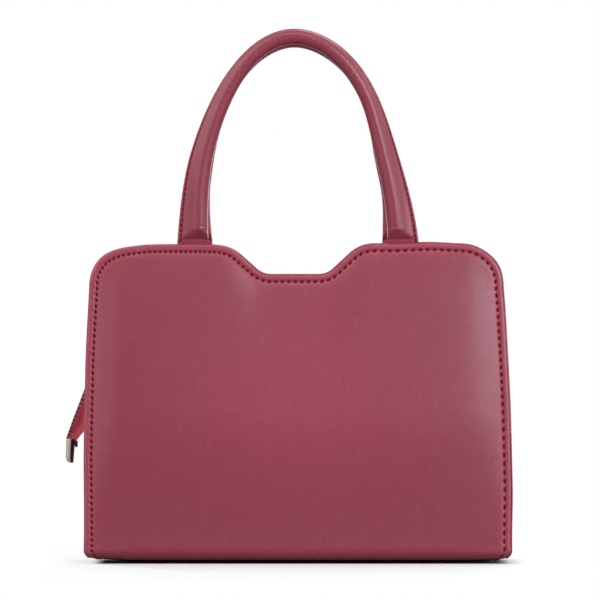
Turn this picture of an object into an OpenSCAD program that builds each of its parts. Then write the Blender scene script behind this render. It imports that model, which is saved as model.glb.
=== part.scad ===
// Top handle bag: a stiffened satchel with a notched top edge, a zip that runs over the top
// and down both sides, a zip tail with a metal cap, and two arched handles.
// Millimetres. X runs across the front, Y away from the viewer, Z up.
// The origin is the centre of the base, on the surface that the bag stands on.

/* [Body] */
// Width across the base
base_w = 300; // [260:5:340]
// Width across the top, before its corners are rounded
top_w = 290; // [250:5:330]
// Height of the front and back panels
body_h = 223; // [190:1:260]
// Depth at the base
base_d = 120; // [95:1:150]
// Depth at the top edge
top_d = 92; // [80:1:120]
// Radius of the two top corners
corner_r = 28; // [16:1:36]
// Radius of the two bottom corners, seen from the front
base_corner_r = 7; // [4:0.5:12]
// Radius of the folds between the base and the panels
fold_r = 6; // [5:0.5:9]

/* [Notch] */
// Width of the dip in the top edge, where it leaves the level edge
notch_w = 111; // [100:1:124]
// Depth of the dip
notch_depth = 21.5; // [17:0.5:24]
// Slope of the dip's sides, in degrees
notch_slope = 43; // [38:1:46]
// Radius of the shoulders where the dip begins
shoulder_r = 25; // [18:1:26]
// Radius at the two ends of the dip's floor
floor_r = 15; // [8:1:18]

/* [Leather, boards and lining] */
// Thickness of the outer leather wrap
wrap_t = 1.6; // [1.2:0.1:2]
// Thickness of the stiffening boards
board_t = 1.4; // [1:0.1:1.8]
// Thickness of the lining cloth
lining_t = 0.8; // [0.5:0.1:1]
// Thickness of the gusset and facing leather
gusset_t = 1.4; // [1:0.1:1.8]
// Width of the seam flange outside the gussets and facings
flange_w = 8; // [6:0.5:10]
// How far the flange's edge stays inside the wrap's edge
edge_step = 0.5; // [0.2:0.1:1]
// Height of the two lower gussets
gusset_h = 91; // [80:1:105]

/* [Zip] */
// Width of one half of the zip tape, from the middle of the zip
tape_half_w = 16; // [12:0.5:18]
// Thickness of the zip tape
tape_t = 0.8; // [0.5:0.1:1]
// Width of the closed row of teeth
chain_w = 6; // [5:0.5:7]
// Thickness of the teeth
chain_t = 2.2; // [1.8:0.1:2.6]
// Gap between the two rows of teeth
chain_gap = 1; // [0.9:0.1:1.3]
// Distance between the two facings, which leaves the zip in view
facing_gap = 16; // [14:0.5:22]
// Length of tape tucked behind each gusset
tape_tuck = 6; // [4:0.5:10]
// Length of the metal stop at the end of the teeth
stop_len = 3; // [2:0.5:4]

/* [Slider and puller] */
// Width of the slider
slider_w = 9.5; // [8.5:0.5:11]
// Length of the slider
slider_len = 13; // [11:0.5:16]
// Thickness of each slider plate
slider_plate_t = 1.2; // [1:0.1:1.5]
// Thickness of the blade that joins the two plates
blade_t = 0.4; // [0.3:0.1:0.5]
// Radius of the puller's pin
pin_r = 0.8; // [0.6:0.1:1]
// Outer radius of the puller's eye
eye_r = 1.9; // [1.7:0.1:2.2]
// Length of the puller below its pin
puller_len = 28; // [20:1:36]
// Width of the puller
puller_w = 7.5; // [7:0.5:9]
// Thickness of the puller
puller_t = 1.6; // [1.2:0.1:2]

/* [Zip tail] */
// How far the tail's teeth stand out from the fixed tape at the tail's lower end
tail_reach = 25; // [18:0.5:26]
// Height of the root along which the tail leaves the fixed tape
tail_root_h = 52; // [46:1:56]
// Height of the tail's lower inner corner above the top of the gusset
tail_root_rise = 6; // [4:0.5:9]
// Drop from the top of the tail's root to the lower end of its teeth
tail_drop = 62; // [58:1:64]
// Width of the metal cap, seen from the front
cap_w = 6.3; // [5.5:0.1:7.5]
// Length of the metal cap
cap_len = 17.6; // [15:0.1:20]
// Thickness of the metal cap, front to back
cap_d = 7; // [6.5:0.1:8.5]
// Width of the cap's curved lower outer corner
cap_curve_w = 3; // [2:0.1:4]
// Height of the cap's curved lower outer corner
cap_curve_h = 6; // [4:0.5:8]
// Thickness of the cap's walls beside the slot
cap_wall = 1.3; // [1:0.1:1.5]
// Depth of the slot that the tapes are clamped in
cap_slot = 6; // [4:0.5:8]
// Height of the cap's top above the middle of its screw
screw_drop = 3.7; // [3.2:0.1:5]
// Radius of the cap screw's head
screw_head_r = 2.2; // [1.8:0.1:2.6]
// Thickness of the cap screw's head
screw_head_t = 1.8; // [1.2:0.1:2.2]
// Radius of the cap screw's shank
screw_r = 0.9; // [0.7:0.1:1.1]
// Length of the cap screw's shank
screw_len = 1.4; // [1.2:0.1:1.6]

/* [Handles] */
// Distance from the middle of the bag to the middle of each front handle leg
handle_half_span = 68.4; // [60:0.1:72]
// Distance from the middle of the bag to the middle of each rear handle leg
rear_half_span = 65.5; // [60:0.1:72]
// Height of the handle's middle line above the top edge
handle_rise = 145; // [110:1:170]
// Radius of the round handle
handle_r = 5.3; // [4.5:0.1:6]
// Thickness of the handle's leather
handle_t = 1; // [0.8:0.1:1.2]
// Slit between the two edges of the handle's leather
slit = 0.3; // [0.2:0.05:0.4]
// Width of the sewn flange beside the handle's round, at its foot
handle_flange_w = 10.5; // [8:0.1:12]
// Half the width of the round where it is pinched flat at its foot
foot_half_w = 7.3; // [6:0.1:8]
// Half the thickness of the pinched foot
foot_half_t = 1; // [0.8:0.05:1]
// Length of the flat foot above the hinge line
foot_len = 3; // [2.5:0.1:4]
// Length over which the foot becomes round
pinch_len = 6; // [4:0.5:8]
// Thickness of each tab sewn inside the top seam
tab_t = 1.2; // [0.9:0.1:1.3]
// Depth that each tab reaches below the top edge
tab_depth = 25; // [18:1:32]

/* [Hidden] */

// Clearance between pieces that move past each other, and at the handles' feet
gap = 0.3;
// Clearance round a pin that turns in an eye
pin_gap = 0.08;
// Overrun of every cut
over = 2;
// Steps in each rounded stretch of the panel outline
arc_steps = 8;
// Curve of round holes and pins
$fn = 48;

leather = [0.58, 0.24, 0.31];
facing_leather = [0.53, 0.21, 0.28];
edge_leather = [0.62, 0.28, 0.35];
cloth = [0.35, 0.32, 0.33];
board = [0.66, 0.60, 0.50];
tape_red = [0.69, 0.24, 0.32];
teeth_metal = [0.22, 0.20, 0.20];
cap_metal = [0.62, 0.58, 0.53];
core_cord = [0.80, 0.77, 0.70];

// Lean of the sides seen from the front, and of the panels seen from the side
side_lean = atan((base_w - top_w) / 2 / body_h);
panel_lean = atan((base_d - top_d) / 2 / body_h);

// Depths below the panels' outer faces
board_at = wrap_t;
lining_at = wrap_t + board_t;
lining_end = lining_at + lining_t;

// Distances inside the panels' outline
web_in = flange_w;
tape_in = web_in + gusset_t;
tape_mid_in = tape_in + tape_t / 2;
tape_end_in = tape_in + tape_t;
board_in = tape_in + gap;

// Heights on the sides
tape_low = gusset_h - tape_tuck;
teeth_low = gusset_h + stop_len + gap;
tail_low = gusset_h + tail_root_rise;
tail_high = tail_low + tail_root_h;
corner_z = body_h - corner_r;

// Handle hinge lines: y is on the front handle
hinge_z = body_h + gap + foot_half_t;
hinge_y = -top_d / 2 + (wrap_t + tab_t / 2) / cos(panel_lean);
arch_rise = body_h + handle_rise - hinge_z;

// A straight edge's distance from the middle at a height, for an outline that leans by lean
function reach(half, lean, inset, z) = (half * cos(lean) - inset - z * sin(lean)) / cos(lean);

// Points on an arc about c
function arc(c, r, from, to) = [
  for (i = [0:arc_steps]) let (a = from + (to - from) * i / arc_steps) c + r * [cos(a), sin(a)]
];

// The lower end of a side: rounded to stand on the base, or run straight on below it
function foot_points(half, lean, inset, r, rounded) = rounded && r > inset
  ? arc([reach(half, lean, r, r), r], r - inset, -90, lean)
  : rounded
    ? [[reach(half, lean, inset, inset), inset]]
    : [[reach(half, lean, inset, -over), -over]];

// Mirrors the right half of an outline onto the left
function both_halves(right) = concat(
  right,
  [for (i = [len(right) - 1:-1:0]) [-right[i].x, right[i].y]]
);

// The panels' outline from the front, drawn in by inset
notch_run = (shoulder_r + floor_r) * sin(notch_slope)
  + (notch_depth - (shoulder_r + floor_r) * (1 - cos(notch_slope))) / tan(notch_slope);
function outline(inset, rounded) = both_halves(concat(
  foot_points(base_w / 2, side_lean, rounded ? min(inset, base_corner_r / 2) : inset,
    base_corner_r, rounded),
  arc([reach(base_w / 2, side_lean, corner_r, corner_z), corner_z], corner_r - inset, side_lean, 90),
  arc([notch_w / 2, body_h - shoulder_r], shoulder_r - inset, 90, 90 + notch_slope),
  arc([notch_w / 2 - notch_run, body_h - notch_depth + floor_r], floor_r + inset,
    270 + notch_slope, 270)
));

// The folded wrap's outline from the side, drawn in by inset and left tall
function profile(inset) = both_halves(concat(
  foot_points(base_d / 2, panel_lean, inset, fold_r, true),
  [[reach(base_d / 2, panel_lean, inset, body_h + over), body_h + over]]
));

module outline_block(inset, rounded = false) {
  rotate([90, 0, 0])
    linear_extrude(base_d + 2 * over, center = true)
      polygon(outline(inset, rounded));
}

module profile_block(inset) {
  rotate([90, 0, 90])
    linear_extrude(base_w + 2 * over, center = true)
      polygon(profile(inset));
}

// A folded sheet between two depths below the wrap's outer face
module folded_sheet(near, far, inset, rounded = false) {
  intersection() {
    outline_block(inset, rounded);
    difference() {
      profile_block(near);
      profile_block(far);
    }
  }
}

// A ring that follows the panels' outline between two insets, over the whole depth
module rim_ring(near, far) {
  difference() {
    outline_block(near);
    outline_block(far);
  }
}

// A block that keeps what lies between two heights on one or both sides
module band(low, high, y_low, y_high) {
  translate([-base_w / 2 - over, y_low, low])
    cube([base_w + 2 * over, y_high - y_low, high - low]);
}

module one_side(side) {
  translate([side < 0 ? -base_w / 2 - over : 0, -base_d / 2 - over, -over])
    cube([base_w / 2 + over, base_d + 2 * over, body_h + 2 * over]);
}

// Places children on the middle of the zip tape on the right side: local x points out of
// the bag, local z up along the side
module on_side(z, side = 1) {
  mirror([side < 0 ? 1 : 0, 0, 0])
    translate([reach(base_w / 2, side_lean, tape_mid_in, z), 0, z])
      rotate([0, -side_lean, 0])
        children();
}

// Outer shell

module body_wrap() {
  color(leather) folded_sheet(0, wrap_t, 0, true);
}

// Leather strip whose flanges lie on the wrap and whose web joins them
module flanged_web() {
  intersection() {
    outline_block(edge_step, true);
    rim_ring(0, web_in);
    difference() {
      profile_block(wrap_t);
      profile_block(wrap_t + gusset_t);
    }
  }
  intersection() {
    rim_ring(web_in, tape_in);
    profile_block(wrap_t);
  }
}

module gusset(side) {
  color(leather)
    intersection() {
      flanged_web();
      one_side(side);
      band(-over, gusset_h, -base_d, base_d);
    }
}

module left_gusset() {
  gusset(-1);
}

module right_gusset() {
  gusset(1);
}

// Half of the zip surround; facing +1 is the rear, -1 the front
module zip_facing(facing) {
  color(facing_leather)
    mirror([0, facing > 0 ? 1 : 0, 0])
      difference() {
        intersection() {
          flanged_web();
          band(gusset_h, body_h + over, -base_d, -facing_gap / 2);
        }
        for (side = [-1, 1])
          tab_space(half_span(facing), side);
      }
}

module front_zip_facing() {
  zip_facing(-1);
}

module rear_zip_facing() {
  zip_facing(1);
}

// Boards and lining

module panel_board(facing) {
  color(board)
    mirror([0, facing > 0 ? 1 : 0, 0])
      difference() {
        intersection() {
          folded_sheet(board_at, lining_at, board_in);
          band(fold_r, body_h, -base_d, 0);
        }
        for (side = [-1, 1])
          tab_space(half_span(facing), side);
      }
}

module front_board() {
  panel_board(-1);
}

module back_board() {
  panel_board(1);
}

module base_board() {
  flat_half = base_d / 2 - fold_r - gap;
  color(board)
    intersection() {
      folded_sheet(board_at, lining_at, board_in);
      band(0, fold_r, -flat_half, flat_half);
    }
}

module body_lining() {
  color(cloth) folded_sheet(lining_at, lining_end, board_in);
}

module gusset_lining(side) {
  color(cloth)
    intersection() {
      rim_ring(tape_in, tape_in + lining_t);
      profile_block(lining_end + gap);
      one_side(side);
      band(0, tape_low - gap, -base_d, base_d);
    }
}

module left_gusset_lining() {
  gusset_lining(-1);
}

module right_gusset_lining() {
  gusset_lining(1);
}

// Zip

// Beside the tail's root the tape carries no teeth, so there it reaches nearly to the middle
module zip_tape(facing) {
  color(tape_red)
    mirror([0, facing > 0 ? 1 : 0, 0])
      intersection() {
        rim_ring(tape_in, tape_end_in);
        union() {
          band(tape_low, body_h, -tape_half_w, -chain_w / 2);
          intersection() {
            band(tape_low, tail_high, -tape_half_w, -chain_gap / 2);
            one_side(-1);
          }
        }
      }
}

module front_zip_tape() {
  zip_tape(-1);
}

module rear_zip_tape() {
  zip_tape(1);
}

// The left row of teeth ends where the tail leaves the bag
module zip_teeth(facing) {
  color(teeth_metal)
    mirror([0, facing > 0 ? 1 : 0, 0])
      intersection() {
        rim_ring(tape_mid_in - chain_t / 2, tape_mid_in + chain_t / 2);
        band(teeth_low, body_h, -chain_w / 2, -chain_gap / 2);
        union() {
          one_side(1);
          band(tail_high, body_h, -base_d, base_d);
        }
      }
}

module front_zip_teeth() {
  zip_teeth(-1);
}

module rear_zip_teeth() {
  zip_teeth(1);
}

module zip_end_stop() {
  color(cap_metal)
    on_side(gusset_h)
      translate([-chain_t / 2, -chain_w / 2, gap])
        cube([chain_t, chain_w, stop_len - gap]);
}

// Slider: two plates joined by a blade that runs in the gap between the teeth

slider_z = teeth_low + slider_len / 2 + gap;
slider_face = chain_t / 2 + gap;
pin_x = slider_face + slider_plate_t + gap + eye_r;
ear_gap = puller_w / 2 + gap;
eye_w = puller_w / 2 - gap;
pin_z = slider_len / 4;

module slider_plate() {
  corner = slider_w / 4;
  rotate([0, 90, 0])
    linear_extrude(slider_plate_t)
      union() {
        square([slider_len - 2 * corner, slider_w], center = true);
        square([slider_len, slider_w - 2 * corner], center = true);
        for (u = [-1, 1], v = [-1, 1])
          translate([u * (slider_len / 2 - corner), v * (slider_w / 2 - corner)])
            circle(corner);
      }
}

module zip_slider() {
  ear_t = (slider_w - ear_gap) / 4;
  ear_low = slider_face + slider_plate_t;
  color(cap_metal)
    on_side(slider_z) {
      translate([slider_face, 0, 0])
        slider_plate();
      translate([-slider_face - slider_plate_t, 0, 0])
        slider_plate();
      translate([-slider_face - slider_plate_t / 2, -blade_t / 2, -slider_len / 4])
        cube([2 * slider_face + slider_plate_t, blade_t, slider_len / 2]);
      for (v = [-1, 1])
        translate([0, v * (ear_gap / 2 + ear_t / 2), pin_z]) {
          rotate([90, 0, 0])
            linear_extrude(ear_t, center = true) {
              translate([ear_low - slider_plate_t / 2, -eye_r])
                square([pin_x - ear_low + slider_plate_t / 2, 2 * eye_r]);
              translate([pin_x, 0])
                circle(eye_r);
            }
        }
      translate([pin_x, 0, pin_z])
        rotate([90, 0, 0])
          cylinder(h = ear_gap + ear_t, r = pin_r, center = true);
    }
}

// The puller hangs from the slider's pin, along the leaning side
module zip_puller() {
  neck = 2 * eye_r;
  hole_r = puller_w / 5;
  color(cap_metal)
    on_side(slider_z)
      translate([pin_x, 0, pin_z])
        difference() {
          union() {
            rotate([90, 0, 0])
              cylinder(h = eye_w, r = eye_r, center = true);
            translate([-puller_t / 2, -eye_w / 2, -neck - puller_t])
              cube([puller_t, eye_w, neck + puller_t]);
            rotate([0, 90, 0])
              linear_extrude(puller_t, center = true)
                translate([neck, -puller_w / 2])
                  square([puller_len - neck - puller_w / 2, puller_w]);
            rotate([0, 90, 0])
              linear_extrude(puller_t, center = true)
                translate([puller_len - puller_w / 2, 0])
                  circle(puller_w / 2);
          }
          rotate([90, 0, 0])
            cylinder(h = puller_w, r = pin_r + pin_gap, center = true);
          translate([0, 0, -puller_len + puller_w / 2])
            rotate([0, 90, 0])
              cylinder(h = puller_w, r = hole_r, center = true);
        }
}

// Zip tail: the folded end of the zip, standing out from the left side

// Places children on the tail's hinge line, at the lower end of its root
tail_hinge_out = tape_t / 2 + gap + tape_t;
module on_tail() {
  on_side(tail_low, -1)
    translate([tail_hinge_out, 0, 0])
      children();
}

// Corners of the tail, out from the hinge line and up from its lower end
tail_tip = [tail_reach - tail_hinge_out, tail_root_h - tail_drop];
tail_angle = atan(tail_tip.x / tail_drop);
cap_in = tail_tip.x - cap_w;
tuck_in = cap_in + cap_wall + 2 * gap;

module zip_tail_tape() {
  ridge_in = chain_t / cos(tail_angle);
  color(tape_red)
    on_tail() {
      cylinder(h = tail_root_h - ridge_in / tan(tail_angle), r = tape_t);
      rotate([90, 0, 0])
        linear_extrude(2 * tape_t, center = true)
          polygon([
            [0, 0],
            [tuck_in / 2, tail_tip.y / 4],
            [tuck_in, tail_tip.y + gap],
            [tuck_in, tail_tip.y - cap_slot + gap],
            [tail_tip.x - ridge_in, tail_tip.y - cap_slot + gap],
            [tail_tip.x - ridge_in, tail_tip.y],
            [0, tail_root_h - ridge_in / tan(tail_angle)]
          ]);
    }
}

module zip_tail_teeth() {
  ridge_in = chain_t / cos(tail_angle);
  clear = chain_w / 2 + gap;
  clear_up = tail_root_h - clear / tan(tail_angle);
  color(teeth_metal)
    on_tail()
      rotate([90, 0, 0])
        linear_extrude(chain_w, center = true)
          polygon([
            [tail_tip.x - ridge_in, tail_tip.y],
            [tail_tip.x, tail_tip.y],
            [clear, clear_up],
            [clear, clear_up - ridge_in / tan(tail_angle)]
          ]);
}

module zip_end_cap() {
  low = tail_tip.y - cap_len;
  corner = [
    for (i = [0:arc_steps]) let (a = 90 * i / arc_steps) [
      tail_tip.x - cap_curve_w * (1 - cos(a)), low + cap_curve_h * (1 - sin(a))
    ]
  ];
  color(cap_metal)
    on_tail()
      difference() {
        rotate([90, 0, 0])
          linear_extrude(cap_d, center = true)
            polygon(concat([[cap_in, low], [cap_in, tail_tip.y], tail_tip], corner));
        translate([cap_in + cap_wall, -tape_t, tail_tip.y - cap_slot])
          cube([cap_w - 2 * cap_wall, 2 * tape_t, cap_slot + over]);
        cap_screw_shape(pin_gap);
      }
}

module cap_screw_shape(grow) {
  translate([cap_in, 0, tail_tip.y - screw_drop])
    rotate([0, 90, 0])
      cylinder(h = screw_len + grow, r = screw_r + grow);
}

module zip_cap_screw() {
  slot_w = screw_head_r / 3;
  color(teeth_metal)
    on_tail() {
      difference() {
        translate([cap_in - screw_head_t, 0, tail_tip.y - screw_drop])
          rotate([0, 90, 0])
            cylinder(h = screw_head_t, r = screw_head_r);
        translate([
          cap_in - screw_head_t - over,
          -slot_w / 2,
          tail_tip.y - screw_drop - screw_head_r - over
        ])
          cube([over + screw_head_t / 2, slot_w, 2 * (screw_head_r + over)]);
      }
      cap_screw_shape(0);
    }
}

// Handles

function half_span(facing) = facing > 0 ? rear_half_span : handle_half_span;
tab_w = foot_half_w + handle_r + handle_flange_w;

// What lies between two depths, in the front half, where one tab of a handle of that span
// is, grown by clear on the tab's edges
module tab_sheet(span, side, near, far, clear) {
  low_x = side < 0 ? -span - handle_r - handle_flange_w : span - foot_half_w;
  intersection() {
    folded_sheet(near, far, 0);
    translate([low_x - clear, -base_d, body_h - tab_depth - clear])
      cube([tab_w + 2 * clear, base_d, tab_depth + clear + over]);
  }
}

// Space that the boards and facings leave for one tab, in the front half
module tab_space(span, side) {
  tab_sheet(span, side, 0, wrap_t + tab_t + gap, gap);
}

module handle_tab(facing, side) {
  color(edge_leather)
    mirror([0, facing > 0 ? 1 : 0, 0])
      tab_sheet(half_span(facing), side, wrap_t, wrap_t + tab_t, 0);
}

module front_left_handle_tab() {
  handle_tab(-1, -1);
}

module front_right_handle_tab() {
  handle_tab(-1, 1);
}

module rear_left_handle_tab() {
  handle_tab(1, -1);
}

module rear_right_handle_tab() {
  handle_tab(1, 1);
}

// Heights of the rings in the pinched foot, above the hinge line
end_ring_shares = [0.95, 0.6];
foot_rings = concat(
  [for (s = end_ring_shares) -foot_half_t * s],
  [0, foot_len],
  [for (s = [1 / 3, 2 / 3, 1]) foot_len + pinch_len * s]
);
arch_steps = 26;
round_angle = asin((foot_len + pinch_len) / arch_rise);
flange_power_share = 1.35;

// Each ring is [angle along the arch, height below the hinge line]
foot_angles = [for (h = foot_rings) h < 0 ? [0, -h] : [asin(h / arch_rise), 0]];
arch_angles = [
  for (i = [1:arch_steps - 1]) [round_angle + (180 - 2 * round_angle) * i / arch_steps, 0]
];
cover_rings = concat(
  foot_angles,
  arch_angles,
  [for (i = [len(foot_angles) - 1:-1:0]) [180 - foot_angles[i].x, foot_angles[i].y]]
);
core_rings = concat([[round_angle, 0]], arch_angles, [[180 - round_angle, 0]]);

// Middle line and outward direction of a ring, on a handle of that span
function arch_point(span, ring) = [
  span * cos(ring.x), 0, arch_rise * sin(ring.x) - ring.y
];
function arch_out(span, ring) = let (
  n = [arch_rise * cos(ring.x), 0, span * sin(ring.x)]
) n / norm(n);

// How flat the foot is at a ring, from 0 for round to 1 for pinched, and how far the very
// end is rolled closed
function pinch(ring) = let (
  h = arch_rise * sin(ring.x),
  s = min(1, max(0, (h - foot_len) / pinch_len))
) 1 - s * s * (3 - 2 * s);
function roll(ring) = sqrt(1 - pow(ring.y / foot_half_t, 2));
function flange_at(ring) =
  handle_flange_w * pow(1 - min(1, sin(ring.x)), flange_power_share) + handle_t / 2;

// One point of the section: out is away from the arch's middle, across is along Y
function at(span, ring, out, across) =
  arch_point(span, ring) + out * arch_out(span, ring) + [0, across, 0];
function mix(a, b, k) = a + (b - a) * k;

// Angles round the section, from one edge of the slit to the other
ply = slit / 2 + handle_t;
outer_start = asin(ply / handle_r);
bore_r = handle_r - handle_t;
bore_start = asin(slit / 2 / bore_r);
around_shares = [1 / 6, 1 / 3, 1 / 2, 2 / 3, 5 / 6];
function around(start) = concat(
  [start],
  [for (s = around_shares) 180 * s],
  [180],
  [for (s = around_shares) 180 + 180 * s],
  [360 - start]
);
function round_points(span, ring, r, start, wide, thin) = [
  for (a = around(start)) at(
    span, ring,
    mix(r, wide, pinch(ring)) * cos(a),
    roll(ring) * mix(r * sin(a), sign(sin(a)) * thin, pinch(ring))
  )
];
function cover_ring(span, ring) = let (
  tip = handle_r + flange_at(ring),
  ply_half = roll(ring) * mix(ply, foot_half_t, pinch(ring)),
  slit_half = roll(ring) * slit / 2,
  bore_wide = foot_half_w - handle_t,
  inner = round_points(span, ring, bore_r, bore_start, bore_wide, slit / 2)
) concat(
  [at(span, ring, tip, ply_half)],
  round_points(span, ring, handle_r, outer_start, foot_half_w, foot_half_t),
  [at(span, ring, tip, -ply_half), at(span, ring, tip, -slit_half)],
  [for (i = [len(inner) - 1:-1:0]) inner[i]],
  [at(span, ring, tip, slit_half)]
);
core_sides = 2 * (len(around_shares) + 1);
function core_ring(span, ring) = [
  for (i = [0:core_sides - 1]) let (a = 360 * i / core_sides) at(
    span, ring, (bore_r - gap / 2) * cos(a), (bore_r - gap / 2) * sin(a)
  )
];

// Triangles that close one end of a swept solid. Its ring runs along one side of a folded
// strip and back along the other, so each pair of opposite points spans the strip.
function end_strip(count) = [
  for (j = [0:floor(count / 2) - 2]) each [
    [j, j + 1, count - 2 - j], [j, count - 2 - j, count - 1 - j]
  ]
];

// A solid through rings with the same number of points
module swept(rings) {
  count = len(rings[0]);
  last = len(rings) - 1;
  polyhedron(
    points = [for (ring = rings) each ring],
    faces = concat(
      [for (t = end_strip(count)) [t[2], t[1], t[0]]],
      [for (t = end_strip(count)) [for (j = t) last * count + j]],
      [
        for (i = [0:last - 1], j = [0:count - 1]) let (
          a = i * count + j,
          b = i * count + (j + 1) % count
        ) each [[a, b, b + count], [a, b + count, a + count]]
      ]
    )
  );
}

module on_hinge(facing) {
  mirror([0, facing > 0 ? 1 : 0, 0])
    translate([0, hinge_y, hinge_z])
      children();
}

module handle_cover(facing) {
  color(leather)
    on_hinge(facing)
      swept([for (ring = cover_rings) cover_ring(half_span(facing), ring)]);
}

module handle_core(facing) {
  color(core_cord)
    on_hinge(facing)
      swept([for (ring = core_rings) core_ring(half_span(facing), ring)]);
}

module front_handle_cover() {
  handle_cover(-1);
}

module front_handle_core() {
  handle_core(-1);
}

module rear_handle_cover() {
  handle_cover(1);
}

module rear_handle_core() {
  handle_core(1);
}

body_wrap();
front_board();
back_board();
base_board();
body_lining();
left_gusset();
right_gusset();
left_gusset_lining();
right_gusset_lining();
front_zip_facing();
rear_zip_facing();
front_zip_tape();
rear_zip_tape();
front_zip_teeth();
rear_zip_teeth();
zip_end_stop();
zip_slider();
zip_puller();
zip_tail_tape();
zip_tail_teeth();
zip_end_cap();
zip_cap_screw();
front_handle_cover();
front_handle_core();
rear_handle_cover();
rear_handle_core();
front_left_handle_tab();
front_right_handle_tab();
rear_left_handle_tab();
rear_right_handle_tab();
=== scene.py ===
"""Top handle bag: leather, thread, zip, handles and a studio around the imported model. Metres."""

import math

import bmesh
import bpy
import numpy as np
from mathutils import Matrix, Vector
from mathutils.geometry import delaunay_2d_cdt
from mathutils.kdtree import KDTree


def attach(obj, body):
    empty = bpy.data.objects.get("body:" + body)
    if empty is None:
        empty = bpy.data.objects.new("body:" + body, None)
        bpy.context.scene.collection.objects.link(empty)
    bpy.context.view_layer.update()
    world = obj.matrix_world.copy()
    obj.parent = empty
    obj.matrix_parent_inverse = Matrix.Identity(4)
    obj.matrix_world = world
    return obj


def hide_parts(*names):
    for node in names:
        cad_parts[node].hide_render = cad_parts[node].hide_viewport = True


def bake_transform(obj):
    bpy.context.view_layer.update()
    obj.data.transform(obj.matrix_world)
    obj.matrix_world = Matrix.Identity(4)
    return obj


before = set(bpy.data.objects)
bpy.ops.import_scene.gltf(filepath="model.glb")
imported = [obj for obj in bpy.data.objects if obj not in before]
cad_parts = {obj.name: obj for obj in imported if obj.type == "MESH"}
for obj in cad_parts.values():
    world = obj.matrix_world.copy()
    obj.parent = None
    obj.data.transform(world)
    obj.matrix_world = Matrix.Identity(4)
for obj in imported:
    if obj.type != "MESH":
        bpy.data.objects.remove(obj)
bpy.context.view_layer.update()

MM = 0.001

# Body
BASE_W = 300 * MM
TOP_W = 290 * MM
BODY_H = 223 * MM
BASE_D = 120 * MM
TOP_D = 92 * MM
CORNER_R = 28 * MM
BASE_CORNER_R = 7 * MM
FOLD_R = 6 * MM
NOTCH_W = 111 * MM
NOTCH_DEPTH = 21.5 * MM
NOTCH_SLOPE = math.radians(43)
SHOULDER_R = 25 * MM
FLOOR_R = 15 * MM
WRAP_T = 1.6 * MM
BOARD_T = 1.4 * MM
LINING_T = 0.8 * MM
GUSSET_T = 1.4 * MM
FLANGE_W = 8 * MM
GUSSET_H = 91 * MM
GAP = 0.3 * MM

# Seams
SEAM_IN = 5 * MM
STITCH = 4.5 * MM
PER_STITCH = 5
# Stitch length in millimetres at places along the seam, counted in the outline's stretches
PITCHES = [
    (2, 6.1), (2.5, 6.0), (2.6, 5.1), (5, 5.0), (9, 4.6), (12, 4.2), (13, 3.6), (14.6, 3.7), (15.2, 4.35),
]
THREAD_R = 0.42 * MM
EDGE_PROUD = 0.3 * MM
WRAP_BACK = 0.9 * MM
LEFT_BACK = 0.15 * MM

# Zip
TAPE_T = 0.8 * MM
CHAIN_W = 6 * MM
CHAIN_T = 2.2 * MM
FACING_GAP = 16 * MM
STOP_LEN = 3 * MM
TOOTH_STEP = 2.8 * MM
TAIL_REACH = 25 * MM
TAIL_ROOT_H = 52 * MM
TAIL_ROOT_RISE = 6 * MM
TAIL_DROP = 62 * MM
CAP_W = 6.3 * MM
CAP_LEN = 17.6 * MM
CAP_D = 7 * MM
CAP_CURVE_W = 3 * MM
CAP_CURVE_H = 6 * MM
CAP_WALL = 1.3 * MM
CAP_SLOT = 6 * MM

# Handles
FRONT_HALF_SPAN = 68.4 * MM
REAR_HALF_SPAN = 65.5 * MM
HANDLE_RISE = 145 * MM
HANDLE_R = 5.3 * MM
HANDLE_T = 1 * MM
SLIT = 0.3 * MM
HANDLE_FLANGE_W = 10.5 * MM
FOOT_HALF_W = 7.3 * MM
FOOT_HALF_T = 1 * MM
FOOT_LEN = 3 * MM
PINCH_LEN = 6 * MM
TAB_T = 1.2 * MM
TAB_DEPTH = 25 * MM
FLANGE_POWER = 1.35

# Worked out from those
SIDE_LEAN = math.atan((BASE_W - TOP_W) / 2 / BODY_H)
PANEL_LEAN = math.atan((BASE_D - TOP_D) / 2 / BODY_H)
WEB_IN = FLANGE_W
TAPE_IN = WEB_IN + GUSSET_T
TAPE_MID_IN = TAPE_IN + TAPE_T / 2
BOARD_IN = TAPE_IN + GAP
LINING_AT = WRAP_T + BOARD_T
CORNER_Z = BODY_H - CORNER_R
TEETH_LOW = GUSSET_H + STOP_LEN + GAP
TAIL_LOW = GUSSET_H + TAIL_ROOT_RISE
TAIL_HIGH = TAIL_LOW + TAIL_ROOT_H
HINGE_Z = BODY_H + GAP + FOOT_HALF_T
HINGE_Y = TOP_D / 2 - (WRAP_T + TAB_T / 2) / math.cos(PANEL_LEAN)
ARCH_RISE = BODY_H + HANDLE_RISE - HINGE_Z


def lerp(a, b, k):
    return a + (b - a) * k


def ramp(x, low, high):
    """0 up to low, 1 from high, and smooth between them."""
    k = np.clip((x - low) / (high - low), 0, 1)
    return k * k * (3 - 2 * k)


def dome(x, centre, width):
    return np.exp(-(((x - centre) / width) ** 2))


def reach(half, lean, inset, z):
    """A leaning edge's distance from the middle at a height."""
    return half - (inset + z * math.sin(lean)) / math.cos(lean)


def unit(v):
    return v / np.linalg.norm(v, axis=-1, keepdims=True)


# The folded sheet: front panel, base and back panel in one, seen from the side

FOLD_Y = reach(BASE_D / 2, PANEL_LEAN, FOLD_R, FOLD_R)
FOLD_TURN = math.pi / 2 + PANEL_LEAN
FOLD_END = FOLD_Y + FOLD_R * FOLD_TURN
WALL_Z = FOLD_R * (1 + math.sin(PANEL_LEAN))


def along_of(z):
    """Distance along the sheet, from the middle of the base, of a height on a panel."""
    return FOLD_END + (z - WALL_Z) / math.cos(PANEL_LEAN)


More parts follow.
